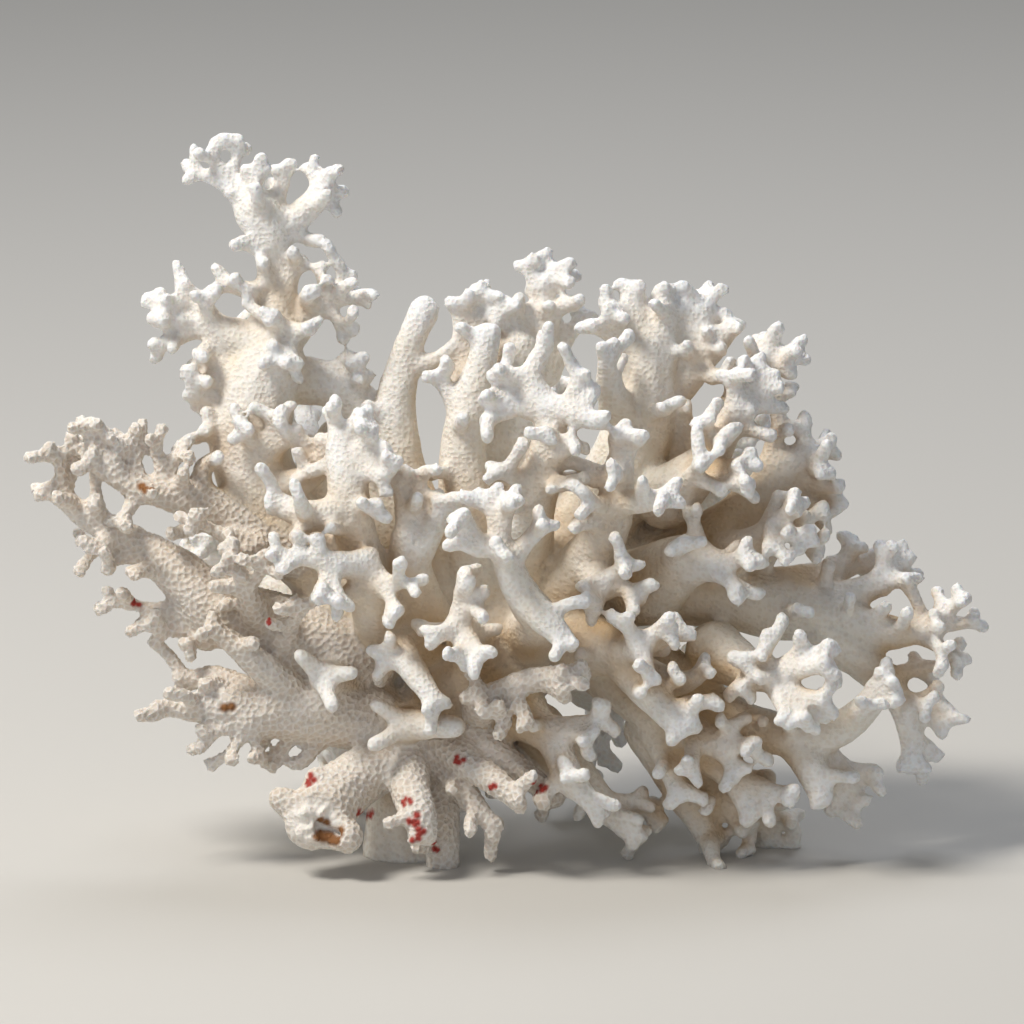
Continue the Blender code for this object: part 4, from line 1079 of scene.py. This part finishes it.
def limb_piece(index, name):
    """One mesh object for a limb, with the skin's values and normals on its points."""
    faces = corners[face_owner == index]
    used, local = np.unique(faces, return_inverse=True)
    place = {number: k for k, number in enumerate(used.tolist())}
    local = local.reshape(-1, 3).tolist()
    places = points[used].tolist()
    caps = []
    for loop in border_loops(faces):
        if len(loop) > 2:
            caps += close_border(loop, place, places)
    mesh = bpy.data.meshes.new(name)
    mesh.from_pydata(places, [], local + caps)
    mesh.validate()
    spare = len(places) - len(used)
    for label, values in VALUES.items():
        layer = mesh.attributes.new(label, "FLOAT", "POINT")
        layer.data.foreach_set("value", np.concatenate((values[used], np.zeros(spare))))
    mesh.polygons.foreach_set("use_smooth", np.ones(len(mesh.polygons), dtype=bool))
    up = np.tile((0.0, 0.0, 1.0), (spare, 1))
    mesh.normals_split_custom_set_from_vertices(np.concatenate((normals[used], up)).tolist())
    piece = bpy.data.objects.new("coral_" + name, mesh)
    bpy.context.scene.collection.objects.link(piece)
    return piece


PIECES = {name: limb_piece(index, name) for index, name in enumerate(NODES)}
triangles = {name: len(piece.data.polygons) for name, piece in PIECES.items()}
print("pieces:", len(PIECES), "triangles:", sum(triangles.values()), "most:", max(triangles.values()))

# %% [markdown]
# Bleached aragonite.
# Dead coral is bare aragonite: a matt, chalky stone that scatters light a little way in. Its colour
# runs from cool white at the tips through cream to warm tan in the angles. The cream and the tips'
# whiteness are its own, but the coolness of that white is painted daylight and the tan is painted
# shade. The cups are dimples a little over a millimetre apart, drawn as bump, because they are
# shallow on the smooth limbs. Their middles and the pits of the crusty cups get painted shade too.

# %% Colours and a node helper
def linear(colour):
    """An sRGB hex colour as linear red, green, blue and alpha."""
    values = [int(colour[k:k + 2], 16) / 255 for k in (1, 3, 5)]
    return (*[v / 12.92 if v <= 0.04045 else ((v + 0.055) / 1.055) ** 2.4 for v in values], 1)


def add(tree, kind, inputs=(), **settings):
    """One node with its settings; inputs maps a socket to a value, a socket or a node.

    From a node, its first output in use is linked.
    """
    node = tree.nodes.new(kind)
    for key, value in settings.items():
        setattr(node, key, value)
    for socket, value in dict(inputs).items():
        if isinstance(value, bpy.types.Node):
            value = next(output for output in value.outputs if output.enabled)
        if isinstance(value, bpy.types.NodeSocket):
            tree.links.new(value, node.inputs[socket])
        else:
            node.inputs[socket].default_value = value
    return node


# %% Aragonite
PATCH = 11 * MM            # the pale and tan clouds
GRAIN = 0.5 * MM           # coarser than the stone's own grain, which one pixel would swallow
MIX_A, MIX_B = 6, 7        # a colour mix's two colour sockets
LABELS = ("recess", "whiteness", "weather", "pit", "stain", "red")


def aragonite(name, tip, body, hollow, crust):
    """Bare coral stone; crust says how much the weathered colours show."""
    material = bpy.data.materials.new(name)
    material.use_nodes = True
    tree = material.node_tree
    tree.nodes.clear()
    recess, whiteness, weather, pit, stain, red = [
        add(tree, "ShaderNodeAttribute", attribute_name=label).outputs["Fac"] for label in LABELS]
    where = add(tree, "ShaderNodeTexCoord").outputs["Object"]
    clouds = add(tree, "ShaderNodeTexNoise", {"Vector": where, "Scale": 1 / PATCH, "Detail": 4.0})
    grain = add(tree, "ShaderNodeTexNoise", {"Vector": where, "Scale": 1 / GRAIN, "Detail": 3.0})
    cups = add(tree, "ShaderNodeTexVoronoi",
               {"Vector": where, "Scale": 1 / (CUP_SPACING * MM), "Randomness": 0.8})
    cup = add(tree, "ShaderNodeMapRange", {"Value": cups, "From Min": 0.62, "From Max": 0.22})

    # painted shade: deep, from the recess and the clouds, mixes in the tan and dims the white
    cloudy = add(tree, "ShaderNodeMath", {0: clouds, 1: 0.7, 2: -0.35}, operation="MULTIPLY_ADD")
    deep = add(tree, "ShaderNodeMath", {0: recess, 1: cloudy}, operation="ADD", use_clamp=True)
    tan = add(tree, "ShaderNodeMath", {0: deep, 1: 1.7}, operation="POWER")
    openness = add(tree, "ShaderNodeMath", {0: deep, 1: -0.7, 2: 1.0}, operation="MULTIPLY_ADD")
    # white: the tips' own white, and partly painted cool daylight
    white = add(tree, "ShaderNodeMath", {0: whiteness, 1: openness}, operation="MULTIPLY")
    # painted shade in each cup's middle: the tan, a little fainter in the angles
    faint = add(tree, "ShaderNodeMath", {0: deep, 1: -0.1, 2: 0.2}, operation="MULTIPLY_ADD")
    dimple = add(tree, "ShaderNodeMath", {0: cup, 1: faint}, operation="MULTIPLY")
    aged = add(tree, "ShaderNodeMix",
               {0: clouds, MIX_A: linear("#f4f2ef"), MIX_B: linear("#e9e1d5")}, data_type="RGBA")
    old = add(tree, "ShaderNodeMath", {0: weather, 1: crust * 0.75}, operation="MULTIPLY")
    # painted shade in the pits of the crusty cups, mottled by the clouds
    pit_shade_mottle = add(tree, "ShaderNodeMath", {0: clouds, 1: 0.75}, operation="MULTIPLY")
    pit_shade = add(tree, "ShaderNodeMath", {0: pit, 1: pit_shade_mottle}, operation="MULTIPLY")

    # each layer lies over the ones before it; the tan, dimple and pit layers are painted shade
    colour = linear(body)
    for share, layer in ((tan, linear(hollow)), (white, linear(tip)), (dimple, linear(hollow)),
                         (old, aged), (pit_shade, linear("#b89f80")), (stain, linear("#84562a")),
                         (red, linear("#a5372c"))):
        colour = add(tree, "ShaderNodeMix", {0: share, MIX_A: colour, MIX_B: layer},
                     data_type="RGBA")

    rough = add(tree, "ShaderNodeMath", {0: deep, 1: 0.12, 2: 0.72}, operation="MULTIPLY_ADD")
    gritty = add(tree, "ShaderNodeMath", {0: grain, 1: 0.7}, operation="MULTIPLY")
    height = add(tree, "ShaderNodeMath", {0: cup, 1: -0.6, 2: gritty}, operation="MULTIPLY_ADD")
    bump = add(tree, "ShaderNodeBump", {"Height": height, "Strength": 0.8, "Distance": 0.32 * MM})
    stone = add(tree, "ShaderNodeBsdfPrincipled",
                {"Base Color": colour, "Roughness": rough, "IOR": 1.53, "Normal": bump,
                 "Subsurface Weight": 0.18, "Subsurface Radius": (1.0, 0.7, 0.45),
                 "Subsurface Scale": 2.0 * MM})
    add(tree, "ShaderNodeOutputMaterial", {"Surface": stone})
    return material


# the third colour is the tan of the painted shade in the angles and in the cups
BLEACHED = aragonite("bleached aragonite", "#f2f4f6", "#f1ece1", "#cbb08a", 0.0)
WORN = aragonite("weathered aragonite", "#f2f3f2", "#efe9de", "#bfa480", 1.0)
print("materials:", BLEACHED.name, "and", WORN.name)

# %% Dress the limbs
for name, piece in PIECES.items():
    old_slot = name in WEATHERED or name == "trunk"
    piece.data.materials.append(WORN if old_slot else BLEACHED)
    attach(piece, "root")
    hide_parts(name)
print("dressed:", len(PIECES))

# %% [markdown]
# Studio.
# The coral stands on a plain pale floor. A long lens far away keeps the proportions of the photo,
# and a large soft lamp at the upper left throws the shade to the lower right, as in the photo.

# %% Floor
def plain_material(name, colour, roughness):
    material = bpy.data.materials.new(name)
    material.use_nodes = True
    shader = material.node_tree.nodes["Principled BSDF"]
    shader.inputs["Base Color"].default_value = linear(colour)
    shader.inputs["Roughness"].default_value = roughness
    return material


FLOOR_HALF = 3.0           # m
floor_mesh = bpy.data.meshes.new("floor")
floor_mesh.from_pydata([(-FLOOR_HALF, -FLOOR_HALF, 0), (FLOOR_HALF, -FLOOR_HALF, 0),
                        (FLOOR_HALF, FLOOR_HALF, 0), (-FLOOR_HALF, FLOOR_HALF, 0)],
                       [], [(0, 1, 2, 3)])
floor = bpy.data.objects.new("floor", floor_mesh)
bpy.context.scene.collection.objects.link(floor)
floor.data.materials.append(plain_material("matt pale board", "#c9c7c2", 0.9))

# %% Lamps and camera
AIM = to_world((1.0, 70.6, 0.0))
DISTANCE = 2.0             # m
SENSOR = 36.0              # mm
FRAME_WIDTH = PHOTO_SIZE / PHOTO_SCALE * MM


def lamp(name, place, size, power, colour):
    """A square soft lamp that looks at the coral."""
    data = bpy.data.lights.new(name, "AREA")
    data.size = size
    data.energy = power
    data.color = linear(colour)[:3]
    holder = bpy.data.objects.new(name, data)
    holder.location = place
    holder.rotation_euler = (AIM - Vector(place)).to_track_quat("-Z", "Y").to_euler()
    bpy.context.scene.collection.objects.link(holder)


lamp("key", (-0.60, -0.30, 1.00), 0.34, 12.6, "#fff9f0")
lamp("fill", (-0.2, -1.3, 0.45), 0.9, 2.2, "#e2ecff")
lamp("top", (0.1, 0.6, 1.1), 0.6, 4.5, "#f4f7ff")

world = bpy.data.worlds.new("soft studio")
world.use_nodes = True
world.node_tree.nodes["Background"].inputs["Color"].default_value = linear("#e9edf2")
world.node_tree.nodes["Background"].inputs["Strength"].default_value = 0.24
bpy.context.scene.world = world
bpy.context.scene.view_settings.view_transform = "Standard"

camera_data = bpy.data.cameras.new("camera")
camera_data.sensor_width = SENSOR
camera_data.lens = SENSOR * DISTANCE / FRAME_WIDTH
camera_data.clip_end = 20.0
camera = bpy.data.objects.new("camera", camera_data)
camera.location = AIM + Vector((0, -math.cos(VIEW_TILT), math.sin(VIEW_TILT))) * DISTANCE
camera.rotation_euler = (AIM - camera.location).to_track_quat("-Z", "Y").to_euler()
bpy.context.scene.collection.objects.link(camera)
bpy.context.scene.camera = camera
print("lens", round(camera_data.lens, 1), "mm at", DISTANCE, "m")
